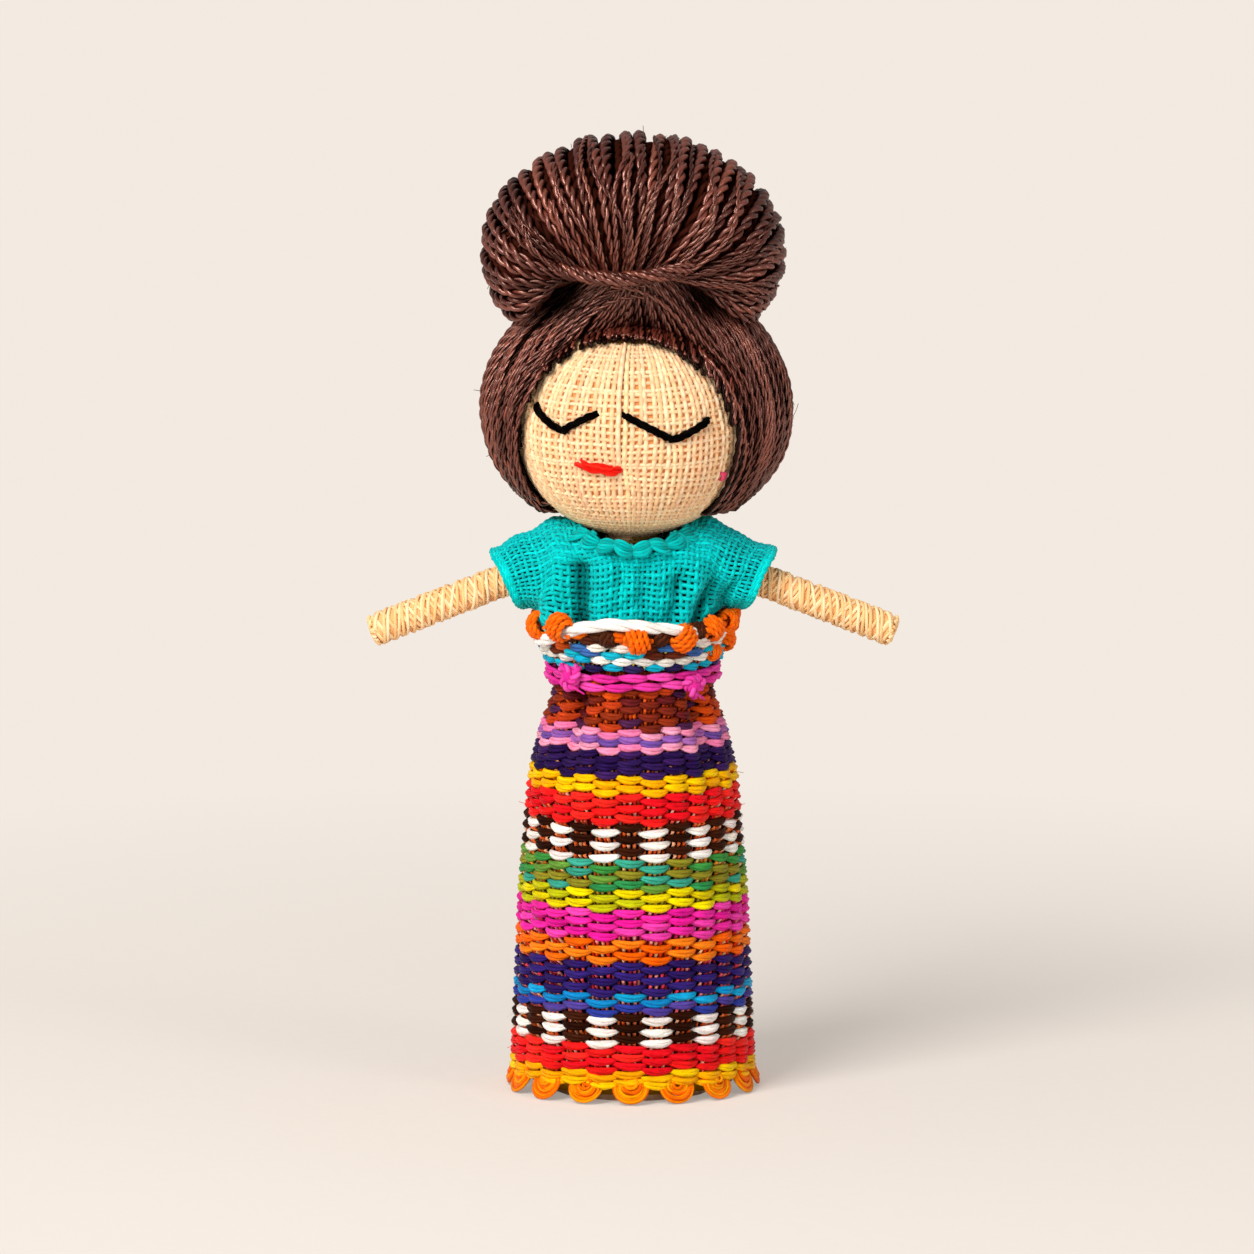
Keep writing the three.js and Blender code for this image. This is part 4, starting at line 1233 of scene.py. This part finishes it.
def blouse_base(across, round_share):
    """Point of the plain blouse: shares from sleeve to sleeve, and from front hem over to back hem."""
    across, round_share = draped(across, round_share)
    down = np.abs(round_share)
    corner = 0.45 * np.exp(-((down / 0.1) ** 2))
    x = across * (sleeve_reach - corner - (sleeve_reach - sleeve_under) * down)
    far = np.abs(x)
    top = shoulder_top - shoulder_slope * np.clip((far - 7.6) / 7.0, 0, 1) ** 1.15
    low = blouse_low + (sleeve_low - blouse_low) * ease(7.0, 9.2, far)
    deep = np.interp(far, *blouse_depths)
    shut = ease(7.4, 9.8, far)
    bend = np.clip(down / front_share, 0, 1) * np.pi / 2
    drop = np.clip((down - front_share) / (1 - front_share), 0, 1)
    open_y = deep * np.sin(bend) ** 0.9
    open_z = top - shoulder_round * (1 - np.cos(bend)) - (top - shoulder_round - low) * drop
    turn = down * np.pi
    shut_y = deep * np.sin(turn)
    shut_z = 0.5 * (top + low) + 0.5 * (top - low) * np.cos(turn)
    y = np.sign(round_share) * ((1 - shut) * open_y + shut * shut_y)
    return xyz(x, y, (1 - shut) * open_z + shut * shut_z)


def blouse_normal(across, round_share):
    """Outward direction of the plain blouse."""
    step = 0.004
    along = blouse_base(across + step, round_share) - blouse_base(across - step, round_share)
    around = blouse_base(across, round_share + step) - blouse_base(across, round_share - step)
    return unit(np.cross(along, around))


def neck_edge(points):
    """How far points lie from the neck hole, as a share of its size: below 1 inside it."""
    deep = np.where(points[..., 1] < 0, neck_front, neck_hole[1])
    return np.hypot(points[..., 0] / neck_hole[0], points[..., 1] / deep)


def fold_lift(base):
    """How far the folds raise or sink points of the plain blouse."""
    x, y, z = np.moveaxis(base, -1, 0)
    lift = np.zeros(x.shape)
    for (x0, z0), (x1, z1), side, width, depth in blouse_folds:
        line = x0 + (x1 - x0) * (z0 - z) / (z0 - z1)
        ends = ease(z0 + 1.5, z0 - 1.5, z)
        lift = lift - depth * np.exp(-(((x - line) / width) ** 2)) * ends * (side * y > 0)
    return lift


def fold_shade(base):
    """Share of the light that reaches points of the blouse in its folds."""
    return 1 - 0.7 * ease(0.15, 1.35, -fold_lift(base))[..., None]


def blouse_point(across, round_share, out):
    """Point of the blouse with its folds and the puckers of its neckline."""
    base = blouse_base(across, round_share)
    x, y, z = np.moveaxis(base, -1, 0)
    lift = fold_lift(base)
    edge = neck_edge(base)
    pucker = np.cos(17 * np.arctan2(x, -y)) * np.exp(-np.clip(edge - 1, 0, 9) * 3.2) * (z > 51)
    ripple = 0.14 * np.sin(1.5 * x + 0.8 * z) + 0.1 * np.sin(2.3 * z - 0.9 * x + 2)
    lift = lift + 0.38 * pucker + ripple + out
    return base + lift[..., None] * blouse_normal(across, round_share)


def kept_runs(mask):
    """Start and end of each unbroken run of points that are kept."""
    marks = np.diff(np.concatenate([[0], mask.astype(int), [0]]))
    return list(zip(np.flatnonzero(marks == 1), np.flatnonzero(marks == -1)))


def split_by_side(arrays):
    """The arrays of a mesh, split where it crosses the middle plane."""
    points, quads, tints, fibres = arrays
    left = points[quads, 0].mean(axis=1) >= 0
    halves = []
    for chosen in (left, ~left):
        used, index = np.unique(quads[chosen], return_inverse=True)
        halves.append((points[used], index.reshape(-1, 4), tints[used], fibres[used]))
    return halves


def lay_thread(threads, across, share, path, weave, tint, seed, radius, thinner):
    """One thread of the blouse, left out over the neck hole and thinner in the sleeves."""
    base = blouse_base(across, share)
    light = 0.86 + 0.14 * ease(-1, 0.2, weave)[:, None]
    tint = varied(tint[None], 0.08, seed) * light * fold_shade(base)
    size = radius - thinner * ease(7, 11, np.abs(base[:, 0]))
    for start, end in kept_runs((neck_edge(base) > 1) | (path[:, 2] < chest_height)):
        if end - start > shortest_run:
            threads.add(path[start:end], size[None, start:end], tint[None, start:end], turn=1.4)


def blouse_weave():
    """Warp and weft of the blouse, passing over and under each other."""
    chance = default_rng(51)
    threads = Threads()
    upright, level = blouse_threads
    for k in range(upright):
        share = np.linspace(-1, 1, 4 * level)
        across = -1 + 2 * k / (upright - 1)
        weave = np.cos(np.pi * (share + 1) / 2 * (level - 1) + np.pi * (k % 2))
        sway = 0.004 * chance.normal() * np.sin(share * 5 + k)
        path = blouse_point(across + sway, share, blouse_wave * weave)
        lay_thread(threads, across, share, path, weave, blouse_tints[k % 4], 600 + k, 0.235, 0.055)
    for k in range(level):
        longer = 1.0 + chance.uniform(0, 0.012)
        across = np.linspace(-longer, longer, 4 * upright)
        share = -1 + 2 * (k + 0.5) / level
        weave = np.cos(np.pi * (across + 1) / 2 * (upright - 1) + np.pi * ((k + 1) % 2))
        path = blouse_point(across, share, blouse_wave * weave)
        lay_thread(threads, across, share, path, weave, blouse_tints[k * 3 % 4], 700 + k, 0.225, 0.07)
    return threads


def blouse_trim(threads):
    """Rolled sleeve hems and the thick gathering stitches of the neckline."""
    share = np.linspace(-0.995, 0.995, 160)
    for side in (-1, 1):
        for k, across in enumerate(sleeve_hems):
            path = blouse_point(side * across, share, 0.04 + 0.03 * k)
            threads.yarn("sleeve_hem", path, trim_tints[k], turn=1.4)
    for k in range(neck_leaves):
        middle = 2 * np.pi * (k + 0.5) / neck_leaves
        along = np.linspace(-1, 1, 16)
        bulge = 1 - along**2
        lean = 0.3 * (-1) ** k + 0.2 * math.sin(5 * k)
        for strand in range(5):
            level = (strand - 2) / 2
            turn = middle + 0.19 * along
            far = 1.05 + 0.2 * bulge - 0.12 * level * bulge
            x = neck_hole[0] * far * np.sin(turn)
            y = -np.where(np.cos(turn) > 0, neck_front, neck_hole[1]) * far * np.cos(turn)
            drop = neck_drop * np.maximum(np.cos(turn), 0) ** 2
            z = blouse_top - drop + lean * along + (0.5 * level + 0.15) * bulge
            tint = leaf_shade_tints[(k + strand) % 3]
            threads.add(xyz(x, y, z), 0.15 + 0.05 * bulge, tint, turn=1.4)
    return threads


def blouse_shade_ground():
    """Backing of the weave, painted dark teal as the shade in its holes."""
    share = np.linspace(-0.99, 0.99, 121)
    grid = np.meshgrid(share, share)
    rows = blouse_point(*grid, -0.28)
    points, quads, tints, fibres = surface_arrays(rows, rgb("#001a1a"), around=False)
    flat = blouse_base(*grid).reshape(-1, 3)
    kept = ((neck_edge(flat) > 1.02) | (flat[:, 2] < chest_height))[quads].all(axis=1)
    return points, quads[kept], tints, fibres


cotton = thread_material("cotton_yarn", gloss=0.18)
for side, body, weave, backing in zip(
    ("left", "right"),
    ("left_arm", "right_arm"),
    split_by_side(blouse_trim(blouse_weave()).arrays()),
    split_by_side(blouse_shade_ground()),
):
    pieces = (
        mesh_piece(f"{side}_blouse_weave", *weave, cotton),
        mesh_piece(f"{side}_blouse_shade_ground", *backing, shaded_ground),
    )
    for part in pieces:
        place(part, None, "blouse_cotton", "blouse", "torso_padding")
        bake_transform(part)

# Arms: wire wound with tan thread that crosses over itself and over the end
arm_tints = palette("#f6cf9c #f3c48c #f8d8aa #f0be82")
wound_length = 19.4
wound_start = 3.0
crossing_turns = 4.8
crossing_starts = 6
crossing_radii = (1.44, 1.52)
end_threads = 14
end_half = 1.5
under_half = 1.4
arm_thread_radius = 0.18


def arm_point(side, along, radius, turn):
    """Point round an arm, by its distance from the shoulder, distance from the axis and turn."""
    droop = math.radians(arm_droop)
    axis = np.array([side * math.cos(droop), 0, -math.sin(droop)])
    rise = np.array([side * math.sin(droop), 0, math.cos(droop)])
    root = np.array([side * arm_pivot[0], 0, arm_pivot[1]])
    radius = np.asarray(radius, float)
    upright = (radius * np.cos(turn))[..., None] * rise
    sideways = (radius * np.sin(turn))[..., None] * np.array([0, 1.0, 0])
    return root + np.asarray(along, float)[..., None] * axis + (upright + sideways)


def arm_winding(side, body, material):
    """Winding of an arm: threads that cross over it both ways and over its end."""
    chance = default_rng(61 + side)
    threads = Threads()
    last = wound_length - 0.2
    layers = [(1, crossing_radii[0], k / crossing_starts) for k in range(crossing_starts)]
    layers += [(-1, crossing_radii[1], (k + 0.4) / crossing_starts) for k in range(crossing_starts)]
    for k, (hand, radius, begin) in enumerate(layers):
        turns = crossing_turns + 0.25 * math.sin(3 * k)
        share = np.linspace(0, 1, int(turns * 28))
        drift = 0.2 * np.sin(share * 17 + k * 2) + 0.12 * np.sin(share * 41 + k)
        along = wound_start + (last - wound_start) * share + drift * np.sin(np.pi * share)
        turn = hand * 2 * np.pi * (turns * share + begin)
        size = radius + 0.03 * np.sin(share * 63 + k) - 0.3 * ease(last - 0.55, last, along)
        threads.add(arm_point(side, along, size, turn), arm_thread_radius, arm_tints[k % 4], sides=6)
    for k in range(end_threads):
        turn = k * 2 * np.pi / end_threads * 1.618 + chance.normal(0, 0.1)
        offset = chance.uniform(-0.85, 0.85)
        sideways = np.linspace(-1, 1, 30) * math.sqrt(end_half**2 - offset**2)
        radius = np.hypot(sideways, offset)
        dome = np.clip(1 - (radius / 1.58) ** 4, 0, 1) ** 0.5
        along = wound_length - 0.5 + 0.5 * dome + 0.05 * (k % 3)
        angle = turn + np.arctan2(offset, sideways)
        threads.add(arm_point(side, along, radius, angle), 0.17, arm_tints[k % 4], sides=6)
    return threads.piece(f"{body}_thread", material)


def arm_base(side, body, material):
    """Under-winding of an arm with a rounded end."""
    straight = wound_length - 0.55
    dome = np.linspace(0.1, 1.57, 9)
    along = np.concatenate([np.linspace(2.0, straight, 40), straight + 0.5 * np.sin(dome)])
    radius = np.concatenate([np.full(40, under_half), under_half * np.cos(dome)])
    turn = np.linspace(0, 2 * np.pi, 33)[:-1]
    rows = arm_point(side, along[:, None] + 0 * turn, radius[:, None], turn[None])
    return surface_piece(f"{body}_under", rows if side < 0 else rows[::-1], rgb("#f0b478"), material)


arm_yarn = thread_material("arm_yarn", roughness=0.75, contrast=0.15, bump=0.2, gloss=0.1)
for side, body in ((1, "left_arm"), (-1, "right_arm")):
    for part in (arm_winding(side, body, arm_yarn), arm_base(side, body, arm_yarn)):
        place(part, body, "arm_thread", f"{body}_winding")

# Sash and waist: woven rows, orange knots, a white cord and pink lashing
sash_columns = 25
sash_profile = ((43.2, 44.2, 45.4, 46.6, 48.4), (7.9, 8.3, 8.8, 9.05, 9.1))
sash_ground_heights = (43.1, 43.3, 44.2, 45.1, 46.0, 47.0, 47.9, 48.1)
sash_ground_outs = (-1.4, -0.4, -0.25, -0.25, -0.25, -0.25, -0.3, -1.4)
# Rows of the sash: height, radius of the threads, and colours
sash_rows = (
    (43.75, 0.24, palette("#16a8c8 #2a2450 #10b8d8 #241c48")),
    (44.5, 0.25, palette("#10c6dc #f6f0e8 #16b0d0 #f2eee6")),
    (45.2, 0.25, palette("#18bcd4 #f4eee6 #5a2616 #1cc4dc #3c64a4")),
    (45.9, 0.25, palette("#4a2012 #d8581c #3a6cac #4a2012 #f4e8dc")),
    (46.6, 0.26, palette("#f6eee6 #ee6a16 #4a2214 #f6eee6 #4a2214")),
    (47.35, 0.33, palette("#fb660a #3c1c10 #fb6206 #fb7412 #42200f")),
)
# Knots: angle, height, distance out, size and tilt
sash_knot_places = (
    (-66, 47.5, 1.2, 1.25, 20),
    (-44, 47.8, 1.5, 1.3, -15),
    (3, 46.9, 1.0, 1.25, 20),
    (30, 46.9, 1.0, 1.25, -40),
    (53, 47.5, 0.9, 1.1, 55),
    (74, 47.6, 0.8, 1.05, -10),
    (101, 47.9, 0.8, 1.0, 30),
    (128, 47.9, 0.8, 1.0, -35),
    (154, 47.9, 0.8, 1.0, 15),
    (180, 47.9, 0.8, 1.0, 40),
    (-153, 47.9, 0.8, 1.0, -20),
    (-126, 47.9, 0.8, 1.0, 30),
    (-107, 47.5, 0.5, 0.95, -45),
)
low_knot_places = ((76, 45.8, 0.6, 1.0, 60), (61, 44.9, 0.5, 0.75, 20))
brown_knot_places = (
    (-15, 47.0, 0.45, 0.8, 5),
    (16.5, 47.1, 0.5, 0.8, -10),
    (43, 47.4, 0.5, 0.7, 15),
)
knot_turns = 4.5
# White cord and waist tie, by angles and heights
white_cord_points = (
    (-84, 45.6),
    (-60, 46.2),
    (-33, 47.8),
    (-12, 48.45),
    (9, 48.2),
    (31, 47.6),
    (44, 47.0),
)
waist_half = 7.95
waist_depth = 0.87
tie_columns = 18
tie_rows = ((42.75, 0.0), (41.85, 0.5))
tie_knots = (("right", -44, 42.75, 1.25), ("left", 42, 41.8, 1.05))
hem_skeins = 16
hem_loops = 12
hem_half = 11.95
hem_height = 1.56
hem_ring_half = 11.5


def sash_point(angle, height, out):
    """Point on the sash's outside, moved outwards by out."""
    half = np.interp(height, *sash_profile) + out
    return round_point(angle, height, half, trunk_depth * half)


def waist_point(angle, height, out):
    """Point on the waist under the lashing."""
    half = waist_half + out
    return round_point(angle, height, half, waist_depth * half)


def sash_weave(material):
    """Weft floats of the sash, in mixed colours."""
    chance = default_rng(71)
    step = 360 / sash_columns
    threads = Threads()
    u = np.linspace(-1, 1, 9)
    for k, (height, size, colours) in enumerate(sash_rows):
        angles = (np.arange(sash_columns) + 0.5 * (k % 2)) * step + chance.normal(0, 1.2, sash_columns)
        heights = height + chance.normal(0, 0.1, sash_columns)
        paths = float_paths(sash_point, angles, heights, 0.62 * step, 0.7 + size, 0.95 * size, 72 + k)
        picks = colours[(np.arange(sash_columns) + chance.integers(0, 2, sash_columns)) % len(colours)]
        tints = varied(np.tile(picks, (3, 1)), 0.12, 80 + k)
        threads.add(paths, size * (1 - float_taper * u**2), tints, turn=1.2, capped=False)
    specks = palette("#f08020 #f6d060 #c84a14 #f4ece4 #18a8c8")
    for k in range(4 * sash_columns):
        heights = np.linspace(43.5, 47.8, 50)
        out = 0.16 + 0.14 * np.sin(heights * 9 + k)
        path = sash_point(k * step / 4 + 0.4 * np.sin(heights * 3 + k), heights, out)
        tint = specks[(np.arange(50) // 7 + 3 * k) % len(specks)]
        threads.add(path, 0.15, tint[None], sides=4, capped=False)
    return threads.piece("sash_weave", material)


def sash_shade_ground(material):
    """Ground of the sash, painted dark as the shade between its threads, turned in at its edges."""
    angles = np.arange(0, 360, 3)
    rows = [sash_point(angles, *row) for row in zip(sash_ground_heights, sash_ground_outs)]
    return surface_piece("sash_shade_ground", rows, rgb("#2a1610"), material)


def knot_path(size, tilt):
    """Yarn wound round itself into a fat slanting knot about the size given."""
    share = np.linspace(0, 1, 130)
    turn = 2 * np.pi * knot_turns * share
    swell = size * (0.35 + 0.65 * np.sin(np.pi * share) ** 0.5)
    length = 1.9 * size * (share - 0.5)
    slant = math.radians(tilt)
    upright = swell * np.cos(turn)
    x = length * math.cos(slant) - upright * math.sin(slant)
    z = length * math.sin(slant) + upright * math.cos(slant)
    return xyz(x, 0.85 * swell * np.sin(turn), z)


def overhand_path(size):
    """Closed path of an overhand knot, three crossings wide, laid flat against the front."""
    turn = np.linspace(0, 2 * np.pi, 120)
    x = np.sin(turn) + 2 * np.sin(2 * turn)
    z = np.cos(turn) - 2 * np.cos(2 * turn)
    return size / 3 * xyz(x, -0.9 * np.sin(3 * turn), z)


def turned_to(path, angle, centre):
    """A path made at the front, turned round the doll to an angle and moved to its centre."""
    turn = math.radians(angle)
    x = path[:, 0] * math.cos(turn) - path[:, 1] * math.sin(turn)
    y = path[:, 0] * math.sin(turn) + path[:, 1] * math.cos(turn)
    return centre + xyz(x, y, path[:, 2])


def sash_knots(material):
    """Fat orange knots along the top of the sash, joined by loops of the same yarn."""
    threads = Threads()
    orange = palette("#fb660a #fd7414")
    brown = palette("#3c1c10 #4a2414")
    for k, knot in enumerate(sash_knot_places + low_knot_places + brown_knot_places):
        angle, height, out, size, tilt = knot
        centre = sash_point(angle, height, out)
        path = turned_to(knot_path(size, tilt), angle, centre)
        tints = brown if knot in brown_knot_places else orange
        threads.yarn("sash_knot", path, tints, phase=k, sides=6)
    for k, (angle, *_) in enumerate(sash_knot_places):
        following = sash_knot_places[(k + 1) % len(sash_knot_places)][0]
        between = angle + away(following, angle) * np.linspace(0, 1, 40)
        sway = 0.25 * np.sin(np.linspace(0, 2 * np.pi, 40))
        link = sash_point(between, 47.75 + sway, -0.25)
        threads.yarn("sash_link", link, orange, sides=6)
    return threads.piece("sash_knots", material)


def white_cord(material):
    """Thick white cord across the front of the sash, its ends tucked in."""
    path = spline(white_cord_points, 150)
    share = np.linspace(0, 1, 150)
    out = 1.15 - 1.6 * (1 - ease(0, 0.12, share)) - 1.5 * (1 - ease(1, 0.88, share))
    line = sash_point(path[:, 0], path[:, 1], out)
    threads = Threads()
    white = palette("#f8f4ee #f3ece4 #faf7f2")
    full = 0.75 + 0.25 * ease(1, 0.6, share)
    threads.yarn("white_cord", line, white, full=full, plies=3, sides=8, turn=1.8)
    return threads.piece("thick_white_cord", material)


def lashing(material):
    """Two rows of pink cord lashed round the waist."""
    threads = Threads()
    pink = palette("#ea3aa4 #f04cb0 #dc2c96")
    step = 360 / tie_columns
    u = np.linspace(-1, 1, 9)
    for k, (height, shift) in enumerate(tie_rows):
        angles = (np.arange(tie_columns) + shift) * step
        heights = height + 0.12 * np.sin(np.radians(angles * 2))
        paths = float_paths(waist_point, angles, heights, 0.64 * step, 0.95, 0.24, 110 + k)
        picks = np.tile(pink[np.arange(tie_columns) % 3], (3, 1))
        threads.add(paths, 0.25 * (1 - 0.55 * u**2), varied(picks, 0.1, 112 + k), turn=1.2, capped=False)
    return threads.piece("pink_lashing", material)


def lashing_knot(name, angle, height, size, material):
    """A pink knot on the lashing, with three short tails."""
    threads = Threads()
    pink = palette("#ea3aa4 #f252b4 #dc2c96")
    centre = waist_point(angle, height, 1.1)
    path = turned_to(overhand_path(size), angle, centre)
    threads.yarn("tie_knot", path, pink[:2], sides=6, capped=False)
    threads.add(turned_to(knot_path(0.5 * size, 30), angle, centre), 0.25, pink[2], sides=6)
    for k in range(3):
        drop = np.linspace(0, 1, 14)
        sideways = angle + (3 + 4 * k) * drop
        fall = height - 0.6 - (0.7 + 0.2 * k) * drop
        line = waist_point(sideways, fall, 1.0 + 0.2 * np.sin(np.pi * drop))
        threads.add(line, 0.13 * (1 - 0.3 * drop), pink[k])
    return threads.piece(name, material)


def hem_rosettes(material):
    """Small skeins of orange thread looped under the hem, joined by a cord."""
    threads = Threads()
    chance = default_rng(131)
    orange = palette("#ff8a00 #fc7600 #ff9c08 #f66400")
    for k in range(hem_skeins):
        angle = k * 360 / hem_skeins - 1
        centre = round_point(angle, hem_height, hem_half, trunk_depth * hem_half)
        turn = np.linspace(0, 2 * np.pi, 33)
        for loop in range(hem_loops):
            size = 0.3 + 1.15 * (loop + 0.5) / hem_loops
            upright = size * np.sin(turn) * chance.uniform(0.9, 1.0) + 0.4 * (1.45 - size)
            inner = 1 - loop / hem_loops
            lean = 0.5 + 0.1 * chance.normal()
            deep = lean * upright + 0.1 * chance.normal() - 0.3 * inner
            slide = 0.14 * chance.normal(size=2) * inner
            path = xyz(1.2 * size * np.cos(turn) + slide[0], deep, upright + slide[1])
            tint = varied(orange[[(loop + k) % 4]], 0.12, 900 + 20 * k + loop)
            threads.add(turned_to(path, angle, centre), 0.17, tint, turn=1.3, capped=False)
    ring = np.linspace(0, 360, 400)
    wave = 2.35 + 0.1 * np.sin(np.radians(ring * hem_skeins))
    cord = round_point(ring, wave, hem_ring_half, trunk_depth * hem_ring_half)
    threads.yarn("hem_ring", cord, orange[:2], turn=0.0, capped=False)
    return threads.piece("hem_rosettes", material)


weave = place(sash_weave(fine_thread), "trunk", "sash_weave", "waist_sash")
backing = place(sash_shade_ground(shaded_ground), "trunk", "sash_weave", "waist_sash")
place(sash_knots(fine_thread), "trunk", "orange_cord", "sash_loop_cord")
place(white_cord(satin), "trunk", "white_cotton", "white_cord")
place(lashing(fine_thread), "trunk", "pink_cord", "waist_tie")
for side, *knot in tie_knots:
    place(lashing_knot(f"{side}_knot", *knot, fine_thread), "trunk", "pink_cord", f"{side}_tie_knot")
place(hem_rosettes(fine_thread), "trunk", "orange_cord", "hem_loop_cord")

# Loose fibres that stand off the threads
hair_fibre_count = 90
skirt_fibre_count = 70
hair_fibre_radius = 0.035
skirt_fibre_radius = 0.03


def loose_fibre(start, outward, length, chance):
    """A fine curled fibre that leaves a surface at a point."""
    share = np.linspace(0, 1, 9)[:, None]
    lean = unit(outward + 0.7 * chance.normal(size=3))
    curl = np.cross(lean, chance.normal(size=3))
    return start - 0.4 * outward + length * (share * lean + 0.5 * share**2 * curl)


def hair_fibres(material):
    """Loose fibres over the bun and the lower edge of the hair."""
    chance = default_rng(141)
    threads = Threads()
    for k in range(hair_fibre_count):
        if k % 2:
            start = bun_point(chance.uniform(0.02, 0.98), chance.uniform(-60, 80), 0.0)
            outward = unit(start - bun_heart)
        else:
            start = hair_point(chance.uniform(-100, 100), chance.uniform(70, 120), 0.0)
            outward = unit(start - hair_centre)
        path = loose_fibre(start, outward, chance.uniform(0.7, 1.7), chance)
        if not uncovered(start):
            threads.add(path, hair_fibre_radius, hair_tints[k % 5], sides=3)
    return threads.piece("hair_fibres", material)


def skirt_fibres(material):
    """Loose fibres over the skirt."""
    chance = default_rng(142)
    threads = Threads()
    for _ in range(skirt_fibre_count):
        band, height = weft_rows[chance.integers(len(weft_rows))]
        angle = chance.uniform(0, 360)
        start = skirt_point(angle, height, 0.7)
        outward = unit(start * [1, 1, 0])
        path = loose_fibre(start, outward, chance.uniform(0.5, 1.2), chance)
        threads.add(path, skirt_fibre_radius, skirt_bands[band_name(band, 1)][0], sides=3)
    return threads.piece("skirt_fibres", material)


place(hair_fibres(hair_thread), "head", "hair_cord", "hair_cap")
place(skirt_fibres(fine_thread), "trunk", "skirt_weave", "skirt_cloth")

# Stick, rolled card and wires, seen below the hem and inside the sleeves
def grained_material(name, dark, light, stretch, roughness, metal=0.0):
    """Wood, card or drawn wire: two tones streaked along one direction, with fine relief."""
    material, tree, shader = new_material(name)
    spot = node(tree, "TexCoord")["Object"]
    scaled = node(tree, "VectorMath", {0: spot, 1: stretch}, operation="MULTIPLY")[0]
    streaks = node(tree, "TexNoise", {"Vector": scaled, "Scale": 1, "Detail": 4})[0]
    share = ranged(tree, streaks, 0.35, 0.65, 0, 1)
    tones = {"Factor": share, "A": (*rgb(dark), 1), "B": (*rgb(light), 1)}
    inputs = {
        "Base Color": node(tree, "Mix", tones, data_type="RGBA")["Result"],
        "Normal": node(tree, "Bump", {"Strength": 0.4, "Distance": 0.05 * MM, "Height": streaks})[0],
        "Roughness": ranged(tree, streaks, *noise_range, roughness + 0.08, roughness - 0.08),
        "Metallic": metal,
    }
    wire(tree, shader, inputs)
    return material


stick_wood = grained_material("stick_wood", "#a9814f", "#d2ab74", (2200, 2200, 120), 0.6)
rolled_card = grained_material("rolled_card", "#c49c74", "#e2c6a0", (900, 900, 260), 0.85)
drawn_wire = grained_material("drawn_wire", "#6e6b66", "#a5a29b", (500, 3000, 3000), 0.35, metal=1.0)
bare_solids = {
    "spine_stick": stick_wood,
    "core_roll": rolled_card,
    "shoulder_wire": drawn_wire,
    "left_arm_core": drawn_wire,
    "right_arm_core": drawn_wire,
}
for name, material in bare_solids.items():
    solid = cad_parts[name].data
    solid.materials.clear()
    solid.materials.append(material)
